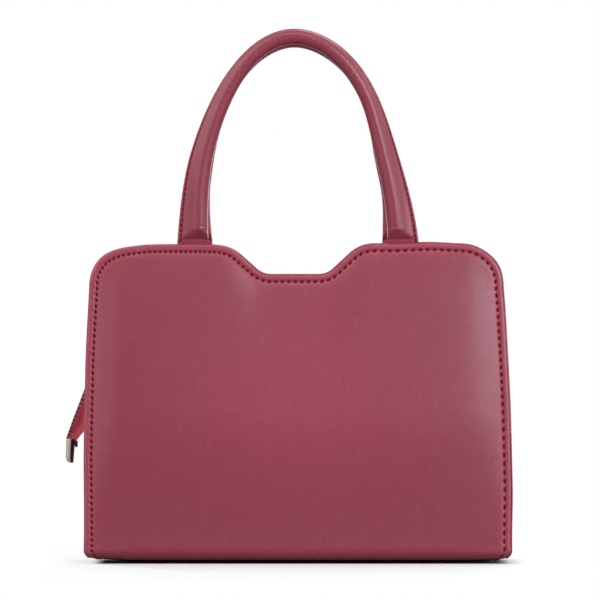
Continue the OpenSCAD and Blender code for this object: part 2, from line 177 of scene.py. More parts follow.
def folded(x, along, depth):
    """Places on the folded sheet, depth below its outer face. The front has along below 0."""
    side = np.where(along < 0, -1.0, 1.0)
    far = np.abs(along)
    turn = np.clip((far - FOLD_Y) / FOLD_R, 0, FOLD_TURN)
    rest = np.maximum(far - FOLD_END, 0)
    y = np.minimum(far, FOLD_Y) + (FOLD_R - depth) * np.sin(turn) - rest * math.sin(PANEL_LEAN)
    z = FOLD_R - (FOLD_R - depth) * np.cos(turn) + rest * math.cos(PANEL_LEAN)
    return np.stack(np.broadcast_arrays(x, side * y, z), -1)


def folded_normal(along):
    side = np.where(along < 0, -1.0, 1.0)
    turn = np.clip((np.abs(along) - FOLD_Y) / FOLD_R, 0, FOLD_TURN)
    return np.stack([np.zeros_like(turn), side * np.sin(turn), -np.cos(turn)], -1)


def wall_y(z, depth):
    """Distance of a panel from the middle of the bag, depth below its outer face."""
    return reach(BASE_D / 2, PANEL_LEAN, depth, z)


# The panels' outline from the front, as nine stretches from the middle of the base to the
# middle of the notch

STRETCHES = 9
SIDE_STRETCH = 2
OUTLINE_STEPS = 9000
FOOT_X = reach(BASE_W / 2, SIDE_LEAN, BASE_CORNER_R, BASE_CORNER_R)
CORNER_C = (reach(BASE_W / 2, SIDE_LEAN, CORNER_R, CORNER_Z), CORNER_Z)
SHOULDER_C = (NOTCH_W / 2, BODY_H - SHOULDER_R)
NOTCH_RUN = (SHOULDER_R + FLOOR_R) * math.sin(NOTCH_SLOPE) + (
    NOTCH_DEPTH - (SHOULDER_R + FLOOR_R) * (1 - math.cos(NOTCH_SLOPE))
) / math.tan(NOTCH_SLOPE)
FLOOR_C = (NOTCH_W / 2 - NOTCH_RUN, BODY_H - NOTCH_DEPTH + FLOOR_R)


def arc(centre, r, angle):
    return centre[0] + r * np.cos(angle), centre[1] + r * np.sin(angle)


def straight(a, b, k):
    return lerp(a[0], b[0], k), lerp(a[1], b[1], k)


def foot_width(z):
    """Half the base's width at a height, where its corners are rounded."""
    drop = np.maximum(BASE_CORNER_R - z, 0)
    return FOOT_X + np.sqrt(np.maximum(BASE_CORNER_R**2 - drop**2, 0))


def edge(w, inset):
    """x and distance along the sheet of places on the outline, drawn in by inset. w counts
    stretches from the base's right edge over the top to its left edge."""
    w = np.asarray(w, float)
    u = np.where(w <= STRETCHES, w, 2 * STRETCHES - w)
    k = np.minimum(u.astype(int), STRETCHES - 1)
    f = u - k
    turn = f * FOLD_TURN
    fold_z = FOLD_R * (1 - np.cos(turn))
    side_z = lerp(WALL_Z, CORNER_Z + (CORNER_R - inset) * math.sin(SIDE_LEAN), f)
    side_x = np.minimum(reach(BASE_W / 2, SIDE_LEAN, inset, side_z), foot_width(side_z) - inset)
    level = BODY_H - inset
    slope_top = arc(SHOULDER_C, SHOULDER_R - inset, math.pi / 2 + NOTCH_SLOPE)
    slope_end = arc(FLOOR_C, FLOOR_R + inset, -math.pi / 2 + NOTCH_SLOPE)
    panel = [
        (side_x, side_z),
        arc(CORNER_C, CORNER_R - inset, lerp(SIDE_LEAN, math.pi / 2, f)),
        straight((CORNER_C[0], level), (SHOULDER_C[0], level), f),
        arc(SHOULDER_C, SHOULDER_R - inset, math.pi / 2 + f * NOTCH_SLOPE),
        straight(slope_top, slope_end, f),
        arc(FLOOR_C, FLOOR_R + inset, -math.pi / 2 + (1 - f) * NOTCH_SLOPE),
        straight((FLOOR_C[0], level - NOTCH_DEPTH), (0, level - NOTCH_DEPTH), f),
    ]
    stretches = [(FOOT_X - inset, f * FOLD_Y), (foot_width(fold_z) - inset, FOLD_Y + FOLD_R * turn)]
    stretches += [(x, along_of(z)) for x, z in panel]
    xs = np.choose(k, [np.broadcast_to(x, f.shape) for x, _ in stretches])
    alongs = np.choose(k, [np.broadcast_to(a, f.shape) for _, a in stretches])
    return np.where(w <= STRETCHES, xs, -xs), alongs


def height(along):
    return WALL_Z + (along - FOLD_END) * math.cos(PANEL_LEAN)


def stretch_at(z):
    """Where on the right side a height lies, counted in stretches."""
    return SIDE_STRETCH + (z - WALL_Z) / (CORNER_Z + CORNER_R * math.sin(SIDE_LEAN) - WALL_Z)


def summed(steps):
    """Distance from a line's start to each of its points, from the steps between them."""
    return np.concatenate([[0], np.cumsum(steps)])


def run_along(x, y):
    return summed(np.hypot(np.diff(x), np.diff(y)))


def spaced(inset, step, start=0.0, end=None):
    """Evenly spaced places along the outline at an inset, and the step between them."""
    w = np.linspace(start, 2 * STRETCHES - start if end is None else end, OUTLINE_STEPS)
    run = run_along(*edge(w, inset))
    count = round(run[-1] / step)
    return np.interp(np.linspace(0, run[-1], count + 1), run, w), run[-1] / count


def pitch(w):
    """The panel seam's stitch length, which the sewing hand has let vary."""
    return np.interp(w, *np.transpose(PITCHES)) * MM


def seam_places():
    """Places along the panel seam, PER_STITCH of them to each stitch."""
    w = np.linspace(0, 2 * STRETCHES, OUTLINE_STEPS)
    x, along = edge(w, SEAM_IN)
    run = summed(np.hypot(np.diff(x), np.diff(along)) / pitch((w[1:] + w[:-1]) / 2))
    count = round(run[-1])
    return np.interp(np.linspace(0, run[-1], count * PER_STITCH + 1), run, w)


def rim(w, inset):
    """x and z of places on the outline of the panels."""
    x, along = edge(w, inset)
    return x, height(along)


def rim_out(w):
    """The outline's outward direction at those places, in x and z."""
    out = np.stack(rim(w, 0), -1) - np.stack(rim(w, MM), -1)
    return unit(out)


# How the real bag has settled: its sides bow, its top corners droop, the notch has moved a
# little to the left and the base sags between its ends. The bows fade away towards the
# middle, so that the zip's band stays straight and the slider can run on it

NOTCH_SHIFT = 2.2 * MM
LEFT_BOW = 2.1 * MM
RIGHT_BOW = 1.4 * MM
CORNER_IN = 0.7 * MM
LEFT_DROOP = 2.1 * MM
RIGHT_DROOP = 1.3 * MM
TOP_DROOP = 0.6 * MM
SHOULDER_DROOP = 0.7 * MM
RIGHT_LIFT = 1.0 * MM
FOLD_LIFT = 1.2 * MM
END_LIFT = 1.1 * MM
BASE_SAG = 1.3 * MM
TAIL_DROOP = 2.1 * MM
ZIP_STRAIGHT = 20 * MM
ZIP_BLEND = 22 * MM
TAIL_BOW_LOSS = 0.8
TAIL_BOW = 0.2
RIGHT_END_LOSS = 0.65


def settle(points):
    """Where places have moved to. Each pair of lengths says where an effect begins and where
    it is whole, and each dome has its middle and its width."""
    p = np.array(points, float)
    x, z = p[:, 0].copy(), p[:, 2].copy()
    notch = (1 - ramp(np.abs(x), 50 * MM, 88 * MM)) * ramp(z, 130 * MM, 195 * MM)
    bow_left = ramp(z, 5 * MM, 90 * MM) * (1 - 0.85 * ramp(z, 135 * MM, 212 * MM))
    bow_right = ramp(z, 8 * MM, 55 * MM) * (1 - 1.7 * ramp(z, 95 * MM, 205 * MM))
    p[:, 0] -= NOTCH_SHIFT * notch
    tail = 1 - TAIL_BOW_LOSS * ramp(-x, 144 * MM, 160 * MM)
    apart = ramp(np.abs(p[:, 1]), ZIP_STRAIGHT, ZIP_STRAIGHT + ZIP_BLEND)
    p[:, 0] -= LEFT_BOW * bow_left * ramp(-x, 90 * MM, 140 * MM) * tail * apart
    p[:, 0] -= TAIL_BOW * LEFT_BOW * ramp(-x, 150 * MM, 158 * MM) * (1 - apart)
    p[:, 0] += RIGHT_BOW * bow_right * ramp(x, 90 * MM, 140 * MM) * apart
    p[:, 0] -= CORNER_IN * dome(z, 197 * MM, 13 * MM) * ramp(x, 118 * MM, 140 * MM) * apart
    high = ramp(z, 140 * MM, 214 * MM)
    p[:, 2] -= LEFT_DROOP * dome(x, -124 * MM, 14 * MM) * high
    p[:, 2] -= TOP_DROOP * (1 - ramp(x, -66 * MM, -26 * MM)) * high
    p[:, 2] -= SHOULDER_DROOP * dome(x, -48 * MM, 13 * MM) * high
    p[:, 2] -= RIGHT_DROOP * dome(x, 134 * MM, 13 * MM) * high * apart
    p[:, 2] += RIGHT_LIFT * dome(x, 92 * MM, 15 * MM) * high
    p[:, 2] += FOLD_LIFT * (1 - ramp(z, 1 * MM, 16 * MM)) * ramp(np.abs(p[:, 1]), 32 * MM, 54 * MM)
    end = ramp(np.abs(x), 112 * MM, 138 * MM) * (1 - 0.6 * ramp(np.abs(x), 138 * MM, 150 * MM))
    p[:, 2] += END_LIFT * (1 - ramp(z, 1 * MM, 30 * MM)) * end * (1 - RIGHT_END_LOSS * (x > 0))
    middle = 1 - ramp(np.abs(p[:, 1]), 20 * MM, 46 * MM)
    middle = middle * (1 - ramp(np.abs(x), 90 * MM, 135 * MM))
    p[:, 2] -= BASE_SAG * middle * (1 - ramp(z, 6 * MM, 24 * MM))
    p[:, 2] -= TAIL_DROOP * ramp(-x, 149 * MM, 157 * MM) * ramp(z, 60 * MM, 76 * MM)
    return p


# Meshes


def new_object(name, points, faces, material, uvs=None, masks=None, sharp=None, shape=settle):
    """A mesh object. uvs has one pair for each point, and masks named values for each point."""
    mesh = bpy.data.meshes.new(name)
    points = shape(points) if shape else points
    mesh.from_pydata([tuple(p) for p in points], [], [tuple(f) for f in faces])
    for mask, values in (masks or {}).items():
        layer = mesh.attributes.new(mask, "FLOAT", "POINT")
        layer.data.foreach_set("value", np.asarray(values, np.float32))
    if uvs is not None:
        layer = mesh.uv_layers.new(name="cloth")
        corners = np.empty(len(mesh.loops), np.int32)
        mesh.loops.foreach_get("vertex_index", corners)
        layer.data.foreach_set("uv", np.asarray(uvs, np.float32)[corners].ravel())
    outward(mesh)
    mesh.shade_smooth()
    if sharp is not None:
        mesh.set_sharp_from_angle(angle=math.radians(sharp))
    mesh.materials.append(material)
    return put(name, mesh)


def put(name, data):
    """A new object in the scene."""
    obj = bpy.data.objects.new(name, data)
    bpy.context.scene.collection.objects.link(obj)
    return obj


def outward(mesh):
    """Turns every face to the outside."""
    bm = bmesh.new()
    bm.from_mesh(mesh)
    bmesh.ops.recalc_face_normals(bm, faces=bm.faces)
    bm.to_mesh(mesh)
    bm.free()


def grid_faces(rows, cols, closed=False):
    """Four-sided faces between the points of a grid, row by row. A closed grid's rows run
    round to their own start."""
    r, c = np.meshgrid(np.arange(rows - 1), np.arange(cols if closed else cols - 1), indexing="ij")
    r1, c1 = r + 1, (c + 1) % cols
    quads = np.stack([r * cols + c, r * cols + c1, r1 * cols + c1, r1 * cols + c], -1)
    return quads.reshape(-1, 4).tolist()


def two_sided(face_list, count):
    """Faces of a closed solid whose two sides share a layout: the second side's points
    follow the first side's, and the open edges are joined."""
    used = {}
    for face in face_list:
        for a, b in zip(face, face[1:] + face[:1]):
            used[(a, b)] = used.get((a, b), 0) + 1
    rims = [e for e in used if (e[1], e[0]) not in used]
    back = [[i + count for i in reversed(face)] for face in face_list]
    return face_list + back + [[b, a, a + count, b + count] for a, b in rims]


def solid_sheet(name, outer, inner, faces, material, uvs=None, masks=None):
    """A sheet with thickness, from the points of its two sides."""
    doubled = {}
    for key, values in (masks or {}).items():
        front, back = values if isinstance(values, tuple) else (values, np.zeros(len(values)))
        doubled[key] = np.concatenate([front, back])
    uvs = None if uvs is None else np.concatenate([uvs, uvs])
    points = np.concatenate([outer, inner])
    return new_object(name, points, two_sided(faces, len(outer)), material, uvs, doubled)


def fill(boundary, loose):
    """Triangles inside a closed boundary, through loose points that follow it. They run
    round the same way as the boundary does."""
    n = len(boundary)
    points = [Vector(p) for p in np.concatenate([boundary, loose])]
    ring = [(i, (i + 1) % n) for i in range(n)]
    result = delaunay_2d_cdt(points, ring, [], 1, 1e-8)
    source = [o[0] if o else -1 for o in result[3]]
    x, y = boundary.T
    area = np.sum(x * np.roll(y, -1) - y * np.roll(x, -1))
    way = 1 if area > 0 else -1
    triangles = [[source[i] for i in face][::way] for face in result[2]]
    return [t for t in triangles if min(t) >= 0]


def inside(points, loop):
    """Which points lie inside a loop, by counting the sides that a level line crosses."""
    x, y = points[:, :1], points[:, 1:]
    x1, y1 = loop.T
    x2, y2 = np.roll(loop, -1, 0).T
    rise = np.where(y2 == y1, 1e-12, y2 - y1)
    hits = ((y1 > y) != (y2 > y)) & (x < (x2 - x1) * (y - y1) / rise + x1)
    return hits.sum(1) % 2 == 1


def lattice(loop, cell):
    """Points of a regular grid that lie inside a loop."""
    low, high = loop.min(0), loop.max(0)
    x = np.arange(low[0] + cell / 2, high[0], cell)
    y = np.arange(low[1] + cell / 2, high[1], cell)
    points = np.stack(np.meshgrid(x, y), -1).reshape(-1, 2)
    return points[inside(points, loop)]


def whole_edge(w, inset):
    """The folded sheet's whole edge: up the front and back along the rear."""
    x, along = edge(w, inset)
    xs = np.concatenate([x, x[-2:0:-1]])
    return np.stack([xs, np.concatenate([-along, along[-2:0:-1]])], -1)


def drawn_back(w, inset):
    """Insets that let the left part of the sheet reach closer to the outline."""
    near = 1 - ramp(inset, WRAP_BACK, 2.9 * MM)
    return inset - (WRAP_BACK - LEFT_BACK) * near * ramp(w, 11, 13)


def sheet_layout(w, insets, inner_insets, cell):
    """Flat layout of a sheet that folds with the panels: points, faces, each point's
    distance from the edge, and how many points each ring has."""
    rings = [whole_edge(w, drawn_back(w, inset)) for inset in insets]
    count = len(rings[0])
    loose = []
    loose_d = []
    for i, inset in enumerate(inner_insets):
        ring = whole_edge(w, inset)[:: 2 if i == 0 else 4]
        loose.append(ring)
        loose_d.append(np.full(len(ring), inset))
    middle = lattice(whole_edge(w, inner_insets[-1] + cell * 0.6)[::4], cell)
    tree = KDTree(count)
    for i, (x, along) in enumerate(rings[0]):
        tree.insert((x, along, 0), i)
    tree.balance()
    loose.append(middle)
    loose_d.append(np.array([insets[0] + tree.find((x, y, 0))[2] for x, y in middle]))
    faces = grid_faces(len(rings), count, closed=True)
    start = (len(rings) - 1) * count
    loose = np.concatenate(loose)
    faces += [[start + i for i in t] for t in fill(rings[-1], loose)]
    points = np.concatenate(rings + [loose])
    distance = np.concatenate([np.full(count, i) for i in insets] + loose_d)
    return points, faces, distance, count


def thick_strip(centre, thickness, lift):
    """Section loops round centre lines of shape (places, points, 2): the near side, with
    lift added, then the far side back again. The ends are rounded."""
    ahead = np.gradient(centre, axis=1)
    n = unit(np.stack([-ahead[..., 1], ahead[..., 0]], -1))
    along = unit(ahead)
    half = thickness / 2
    tip = half * math.sqrt(0.5)
    near = centre + n * (half + lift)[..., None]
    far = centre - n * half
    ends = []
    for i, sign in ((-1, 1), (0, -1)):
        up = centre[:, i] + sign * along[:, i] * tip + n[:, i] * tip
        middle = centre[:, i] + sign * along[:, i] * half
        down = centre[:, i] + sign * along[:, i] * tip - n[:, i] * tip
        ends.append(np.stack([up, middle, down] if sign > 0 else [down, middle, up], 1))
    return np.concatenate([near, ends[0], far[:, ::-1], ends[1]], 1)


def tube_faces(rows, size):
    """Faces of a tube through rows of points, closed at both ends by flat faces."""
    first = list(range(size))
    last = [(rows - 1) * size + i for i in range(size)]
    return grid_faces(rows, size, closed=True) + [first[::-1], last]


def swept(rows):
    return tube_faces(*rows.shape[:2])


def repeated(faces, each, times):
    """The same faces for many small pieces of one object, each with its own points."""
    return [[i * each + k for k in face] for i in range(times) for face in faces]


# Shader helpers


def add(tree, kind, inputs=None, **settings):
    node = tree.nodes.new("ShaderNode" + kind)
    for key, value in settings.items():
        setattr(node, key, value)
    for key, value in (inputs or {}).items():
        connect(tree, value, node.inputs[key])
    return node


def connect(tree, value, socket):
    if isinstance(value, bpy.types.NodeSocket):
        tree.links.new(value, socket)
    else:
        socket.default_value = value


def maths(tree, operation, a, b=0.0, c=0.0):
    node = add(tree, "Math", operation=operation)
    for socket, value in zip(node.inputs, (a, b, c)):
        connect(tree, value, socket)
    return node.outputs[0]


def blend_colours(tree, factor, a, b, mode="MIX"):
    node = add(tree, "Mix", data_type="RGBA", blend_type=mode)
    connect(tree, factor, node.inputs["Factor"])
    connect(tree, a, node.inputs["A"])
    connect(tree, b, node.inputs["B"])
    return node.outputs["Result"]


def spread(tree, value, low, high, to_low=0.0, to_high=1.0):
    inputs = {"Value": value, "From Min": low, "From Max": high, "To Min": to_low, "To Max": to_high}
    return add(tree, "MapRange", inputs, interpolation_type="SMOOTHSTEP").outputs["Result"]


def srgb(r, g, b):
    """A colour given as it looks on screen, 0 to 255."""
    def part(v):
        v /= 255
        return v / 12.92 if v <= 0.04045 else ((v + 0.055) / 1.055) ** 2.4
    return (part(r), part(g), part(b), 1)


def effect(name, inputs, outputs):
    """A new node group with named sockets, and its input and output nodes."""
    tree = bpy.data.node_groups.new(name, "ShaderNodeTree")
    for label, kind, value in inputs:
        socket = tree.interface.new_socket(label, in_out="INPUT", socket_type="NodeSocket" + kind)
        if value is not None:
            socket.default_value = value
    for label in outputs:
        tree.interface.new_socket(label, in_out="OUTPUT", socket_type="NodeSocketFloat")
    return tree, tree.nodes.new("NodeGroupInput").outputs, tree.nodes.new("NodeGroupOutput").inputs


def grain_effect():
    """Pebbled leather grain: small cells with soft creases between them."""
    tree, given, out = effect(
        "Leather grain",
        [("Vector", "Vector", None), ("Cells", "Float", 1400.0), ("Crease", "Float", 0.12)],
        ["Height", "Tone"],
    )
    bend = add(tree, "TexNoise", {"Vector": given["Vector"], "Scale": 500.0, "Detail": 2.0})
    moved = add(tree, "VectorMath", operation="MULTIPLY_ADD")
    connect(tree, bend.outputs["Color"], moved.inputs[0])
    moved.inputs[1].default_value = (0.0004,) * 3
    connect(tree, given["Vector"], moved.inputs[2])
    cells = add(
        tree, "TexVoronoi", {"Vector": moved.outputs[0], "Scale": given["Cells"]},
        feature="DISTANCE_TO_EDGE",
    )
    plump = spread(tree, cells.outputs["Distance"], 0.0, given["Crease"])
    fine = add(tree, "TexNoise", {"Vector": given["Vector"], "Scale": 5200.0, "Detail": 3.0})
    connect(tree, maths(tree, "MULTIPLY_ADD", fine.outputs["Fac"], 0.35, plump), out["Height"])
    connect(tree, maths(tree, "MULTIPLY", plump, fine.outputs["Fac"]), out["Tone"])
    return tree


def mottle_effect():
    """Slow, uneven changes of tone, as in dyed leather, cloth or cast metal."""
    tree, given, out = effect(
        "Mottling",
        [("Vector", "Vector", None), ("Scale", "Float", 30.0), ("Contrast", "Float", 0.5)],
        ["Factor"],
    )
    broad = add(tree, "TexNoise", {"Vector": given["Vector"], "Scale": given["Scale"], "Detail": 4.0})
    low = maths(tree, "SUBTRACT", 0.5, maths(tree, "DIVIDE", given["Contrast"], 2.0))
    high = maths(tree, "ADD", 0.5, maths(tree, "DIVIDE", given["Contrast"], 2.0))
    connect(tree, spread(tree, broad.outputs["Fac"], low, high), out["Factor"])
    return tree


def rubbing_and_sheen_effect():
    """Edges with rubbing wear from hands and tables, and a painted sheen as well: a mask broken up by noise.
    """
    tree, given, out = effect(
        "Edge rubbing and sheen",
        [("Vector", "Vector", None), ("Mask", "Float", 0.0), ("Patches", "Float", 160.0)],
        ["Factor"],
    )
    noise = add(tree, "TexNoise", {"Vector": given["Vector"], "Scale": given["Patches"], "Detail": 3.0})
    patches = spread(tree, noise.outputs["Fac"], 0.35, 0.65)
    connect(tree, maths(tree, "MULTIPLY", given["Mask"], patches), out["Factor"])
    return tree


def weave_effect():
    """Twill: diagonal ribs of thread that step across a cloth laid out in metres."""
    tree, given, out = effect(
        "Twill weave",
        [("Vector", "Vector", None), ("Thread", "Float", 0.0005)],
        ["Height", "Tone"],
    )
    parts = add(tree, "SeparateXYZ", {"Vector": given["Vector"]})
    u = maths(tree, "DIVIDE", parts.outputs["X"], given["Thread"])
    v = maths(tree, "DIVIDE", parts.outputs["Y"], given["Thread"])
    slant = maths(tree, "MULTIPLY", maths(tree, "ADD", u, v), math.pi / 2)
    rib = maths(tree, "ABSOLUTE", maths(tree, "SINE", slant))
    pick = maths(tree, "ABSOLUTE", maths(tree, "SINE", maths(tree, "MULTIPLY", v, math.pi)))
    fuzz = add(tree, "TexNoise", {"Vector": given["Vector"], "Scale": 4000.0, "Detail": 2.0})
    height_out = maths(tree, "MULTIPLY_ADD", pick, 0.35, rib)
    connect(tree, maths(tree, "MULTIPLY_ADD", fuzz.outputs["Fac"], 0.3, height_out), out["Height"])
    uneven = maths(tree, "MULTIPLY_ADD", fuzz.outputs["Fac"], 0.5, 0.75)
    connect(tree, maths(tree, "MULTIPLY", rib, uneven), out["Tone"])
    return tree


GRAIN = grain_effect()
MOTTLE = mottle_effect()
RUBBING_AND_SHEEN = rubbing_and_sheen_effect()
WEAVE = weave_effect()


def use(tree, group, **inputs):
    """Places an effect in a material, with its own values."""
    node = tree.nodes.new("ShaderNodeGroup")
    node.node_tree = group
    for key, value in inputs.items():
        connect(tree, value, node.inputs[key])
    return node.outputs


def new_material(name):
    """A material, its node tree and its shader's sockets."""
    material = bpy.data.materials.new(name)
    material.use_nodes = True
    tree = material.node_tree
    shader = tree.nodes["Principled BSDF"]
    return material, tree, shader.inputs


def place(tree, kind="Object"):
    return add(tree, "TexCoord").outputs[kind]


def mask(tree, name):
    return add(tree, "Attribute", attribute_name=name).outputs["Fac"]


def bump(tree, socket, layers):
    """Adds bumps of (height, distance in metres), one over the other."""
    normal = None
    for value, distance in layers:
        node = add(tree, "Bump", {"Height": value, "Distance": distance, "Strength": 1.0})
        if normal:
            connect(tree, normal, node.inputs["Normal"])
        normal = node.outputs["Normal"]
    connect(tree, normal, socket)


def deeper(colour, share):
    """A darker version of a colour."""
    return tuple(c * share for c in colour[:3]) + (1,)


SEAM_SHADE = srgb(104, 8, 28)
# Grey of the cap's painted dark reflection
REFLECTION_SHADE_METAL = srgb(66, 66, 64)
# How much darker the painted falloff of light makes the panels away from their lit middle
PAINTED_FALLOFF_SHARE = 0.8


def leather(name, dyed, worn_and_sheen, cells=1500.0, depth=0.025 * MM, roughness=0.27):
    """Smooth dyed leather with a fine grain: rubbing wear and a painted sheen at its edges, darker
    with painted shade and without gloss in its seams, and painted darker away from a lit middle where a mask
    asks for it. The metallic part in the seams only takes the pale highlight out of the groove."""
    material, tree, shader = new_material(name)
    where = place(tree)
    grain = use(tree, GRAIN, Vector=where, Cells=cells)
    tone = use(tree, MOTTLE, Vector=where, Scale=22.0, Contrast=0.45)["Factor"]
    cloudy = use(tree, MOTTLE, Vector=where, Scale=90.0, Contrast=0.6)["Factor"]
    rubbed_and_sheen = use(tree, RUBBING_AND_SHEEN, Vector=where, Mask=mask(tree, "rim"))["Factor"]
    deep = deeper(dyed, 0.98)
    colour = blend_colours(tree, tone, deep, dyed)
    # Painted shade: darker away from the panel's middle, for light that falls off towards the edges
    colour = blend_colours(tree, mask(tree, "painted_falloff"), colour, deeper(dyed, PAINTED_FALLOFF_SHARE))
    # Painted shade in the needle holes, the seam grooves and the gaps behind the panel's edge
    colour = blend_colours(tree, maths(tree, "MULTIPLY", mask(tree, "seam"), 0.95), colour, SEAM_SHADE)
    # Paler rims: wear, and a painted sheen where the turned edges catch the light
    colour = blend_colours(tree, maths(tree, "MULTIPLY", rubbed_and_sheen, 0.5), colour, worn_and_sheen)
    shade = spread(tree, grain["Tone"], 0.0, 0.5, 0.90, 1.0)
    grey = add(tree, "CombineColor", {"Red": shade, "Green": shade, "Blue": shade}).outputs[0]
    colour = blend_colours(tree, 1.0, colour, grey, "MULTIPLY")
    connect(tree, colour, shader["Base Color"])
    gloss = maths(tree, "MULTIPLY_ADD", cloudy, 0.02, roughness - 0.01)
    gloss = maths(tree, "MULTIPLY_ADD", rubbed_and_sheen, -0.08, gloss)
    gloss = maths(tree, "MULTIPLY_ADD", mask(tree, "seam"), 0.7, gloss)
    connect(tree, gloss, shader["Roughness"])
    connect(tree, spread(tree, mask(tree, "seam"), 0.0, 0.9), shader["Metallic"])
    shader["Coat Weight"].default_value = 0.12
    shader["Coat Roughness"].default_value = 0.2
    bump(tree, shader["Normal"], [(cloudy, 0.012 * MM), (grain["Height"], depth)])
    return material


def thread_material(name, dyed):
    """Twisted sewing thread."""
    material, tree, shader = new_material(name)
    laid = {"Vector": place(tree, "UV"), "Scale": 1.6, "Distortion": 0.4}
    turns = add(tree, "TexWave", laid, bands_direction="DIAGONAL")
    deep = deeper(dyed, 0.45)
    fuzz = use(tree, MOTTLE, Vector=place(tree), Scale=900.0, Contrast=0.5)["Factor"]
    colour = blend_colours(tree, turns.outputs["Fac"], deep, dyed)
    colour = blend_colours(tree, maths(tree, "MULTIPLY", fuzz, 0.25), colour, deep)
    connect(tree, colour, shader["Base Color"])
    connect(tree, maths(tree, "MULTIPLY_ADD", fuzz, 0.2, 0.35), shader["Roughness"])
    shader["Specular IOR Level"].default_value = 0.25
    bump(tree, shader["Normal"], [(turns.outputs["Fac"], 0.08 * MM)])
    return material


def cloth_material(name, dyed, thread, sheen=0.5):
    """Woven cloth laid out by its own flat measure."""
    material, tree, shader = new_material(name)
    twill = use(tree, WEAVE, Vector=place(tree, "UV"), Thread=thread)
    slow = use(tree, MOTTLE, Vector=place(tree), Scale=60.0, Contrast=0.5)["Factor"]
    deep = deeper(dyed, 0.75)
    colour = blend_colours(tree, twill["Tone"], deep, dyed)
    colour = blend_colours(tree, maths(tree, "MULTIPLY", slow, 0.2), colour, deep)
    connect(tree, colour, shader["Base Color"])
    connect(tree, maths(tree, "MULTIPLY_ADD", twill["Tone"], -0.15, 0.75), shader["Roughness"])
    shader["Sheen Weight"].default_value = sheen
    shader["Sheen Roughness"].default_value = 0.4
    bump(tree, shader["Normal"], [(twill["Height"], thread * 0.12)])
    return material


def metal(name, plain, dark, roughness=0.22):
    """Plated metal with faint brushing and duller patches, and a painted dark reflection where a mask asks
    for it.
    """
    material, tree, shader = new_material(name)
    where = place(tree)
    stretch = add(tree, "Mapping", {"Vector": where, "Scale": (1.0, 1.0, 0.08)})
    lines = add(tree, "TexNoise", {"Vector": stretch.outputs[0], "Scale": 5000.0, "Detail": 3.0})
    dull = use(tree, MOTTLE, Vector=where, Scale=400.0, Contrast=0.5)["Factor"]
    colour = blend_colours(tree, maths(tree, "MULTIPLY", dull, 0.35), plain, dark)
    # Painted dark reflection where the mask asks for it
    colour = blend_colours(tree, maths(tree, "MULTIPLY", mask(tree, "painted_reflection_shade"), 0.9), colour, REFLECTION_SHADE_METAL)
    connect(tree, colour, shader["Base Color"])
    connect(tree, maths(tree, "MULTIPLY_ADD", dull, 0.12, roughness), shader["Roughness"])
    shader["Metallic"].default_value = 1.0
    bump(tree, shader["Normal"], [(lines.outputs["Fac"], 0.01 * MM)])
    return material


def board_material(name, plain):
    """Pressed fibre board with stray dark and pale fibres."""
    material, tree, shader = new_material(name)
    where = place(tree)
    stretch = add(tree, "Mapping", {"Vector": where, "Scale": (1.0, 1.0, 0.25), "Rotation": (0.3, 0.5, 0.9)})
    fibres = add(tree, "TexNoise", {"Vector": stretch.outputs[0], "Scale": 900.0, "Detail": 5.0})
    slow = use(tree, MOTTLE, Vector=where, Scale=50.0, Contrast=0.5)["Factor"]
    deep = deeper(plain, 0.55)
    colour = blend_colours(tree, spread(tree, fibres.outputs["Fac"], 0.4, 0.62), deep, plain)
    colour = blend_colours(tree, maths(tree, "MULTIPLY", slow, 0.3), colour, deep)
    connect(tree, colour, shader["Base Color"])
    connect(tree, maths(tree, "MULTIPLY_ADD", slow, 0.1, 0.8), shader["Roughness"])
    bump(tree, shader["Normal"], [(fibres.outputs["Fac"], 0.1 * MM)])
    return material


WINE = srgb(154, 51, 71)
# Paler wine of the rubbing wear on the rims, which also serves as their painted sheen
WORN_AND_SHEEN_WINE = srgb(176, 84, 100)
PANEL_LEATHER = leather("wine_panel_leather", WINE, WORN_AND_SHEEN_WINE)
GUSSET_LEATHER = leather("wine_gusset_leather", srgb(146, 47, 66), WORN_AND_SHEEN_WINE)
FACING_LEATHER = leather("wine_facing_leather", srgb(140, 45, 62), WORN_AND_SHEEN_WINE, cells=1300.0)
# The handles' leather is a darker copy of the wine leather: painted shade for the handles' dimmer light
SHADED_HANDLE_LEATHER = leather("shaded_wine_handle_leather", srgb(138, 43, 61), WORN_AND_SHEEN_WINE, cells=1700.0, roughness=0.26)
THREAD = thread_material("wine_thread", srgb(196, 66, 94))
TAPE_CLOTH = cloth_material("wine_zip_tape", srgb(238, 100, 118), 0.6 * MM, sheen=0.25)
LINING_CLOTH = cloth_material("grey_lining", srgb(120, 112, 114), 0.3 * MM, sheen=0.2)
CORD_FIBRE = cloth_material("pale_cord", srgb(206, 198, 178), 0.6 * MM, sheen=0.2)
DARK_METAL = metal("dark_teeth_metal", srgb(112, 38, 52), srgb(60, 16, 26), 0.5)
BRIGHT_METAL = metal("polished_metal", srgb(176, 166, 152), srgb(120, 112, 104), 0.2)
CAP_METAL = metal("cast_cap_metal", srgb(202, 190, 174), srgb(168, 156, 142), 0.2)
BOARD = board_material("fibre_board", srgb(168, 152, 128))


# Thread

STITCH_RINGS = [(0.0, 0.35), (0.08, 0.8), (0.26, 1.0), (0.5, 1.06), (0.74, 1.0), (0.92, 0.8), (1.0, 0.35)]
STITCH_SIDES = 6
STITCH_TRIM = 0.25
THREAD_TURNS = 3
THREAD_LIFT = 0.35
THREAD_FLAT = 0.85
SLANT = 0.5 * MM
DIP = 0.7 * MM


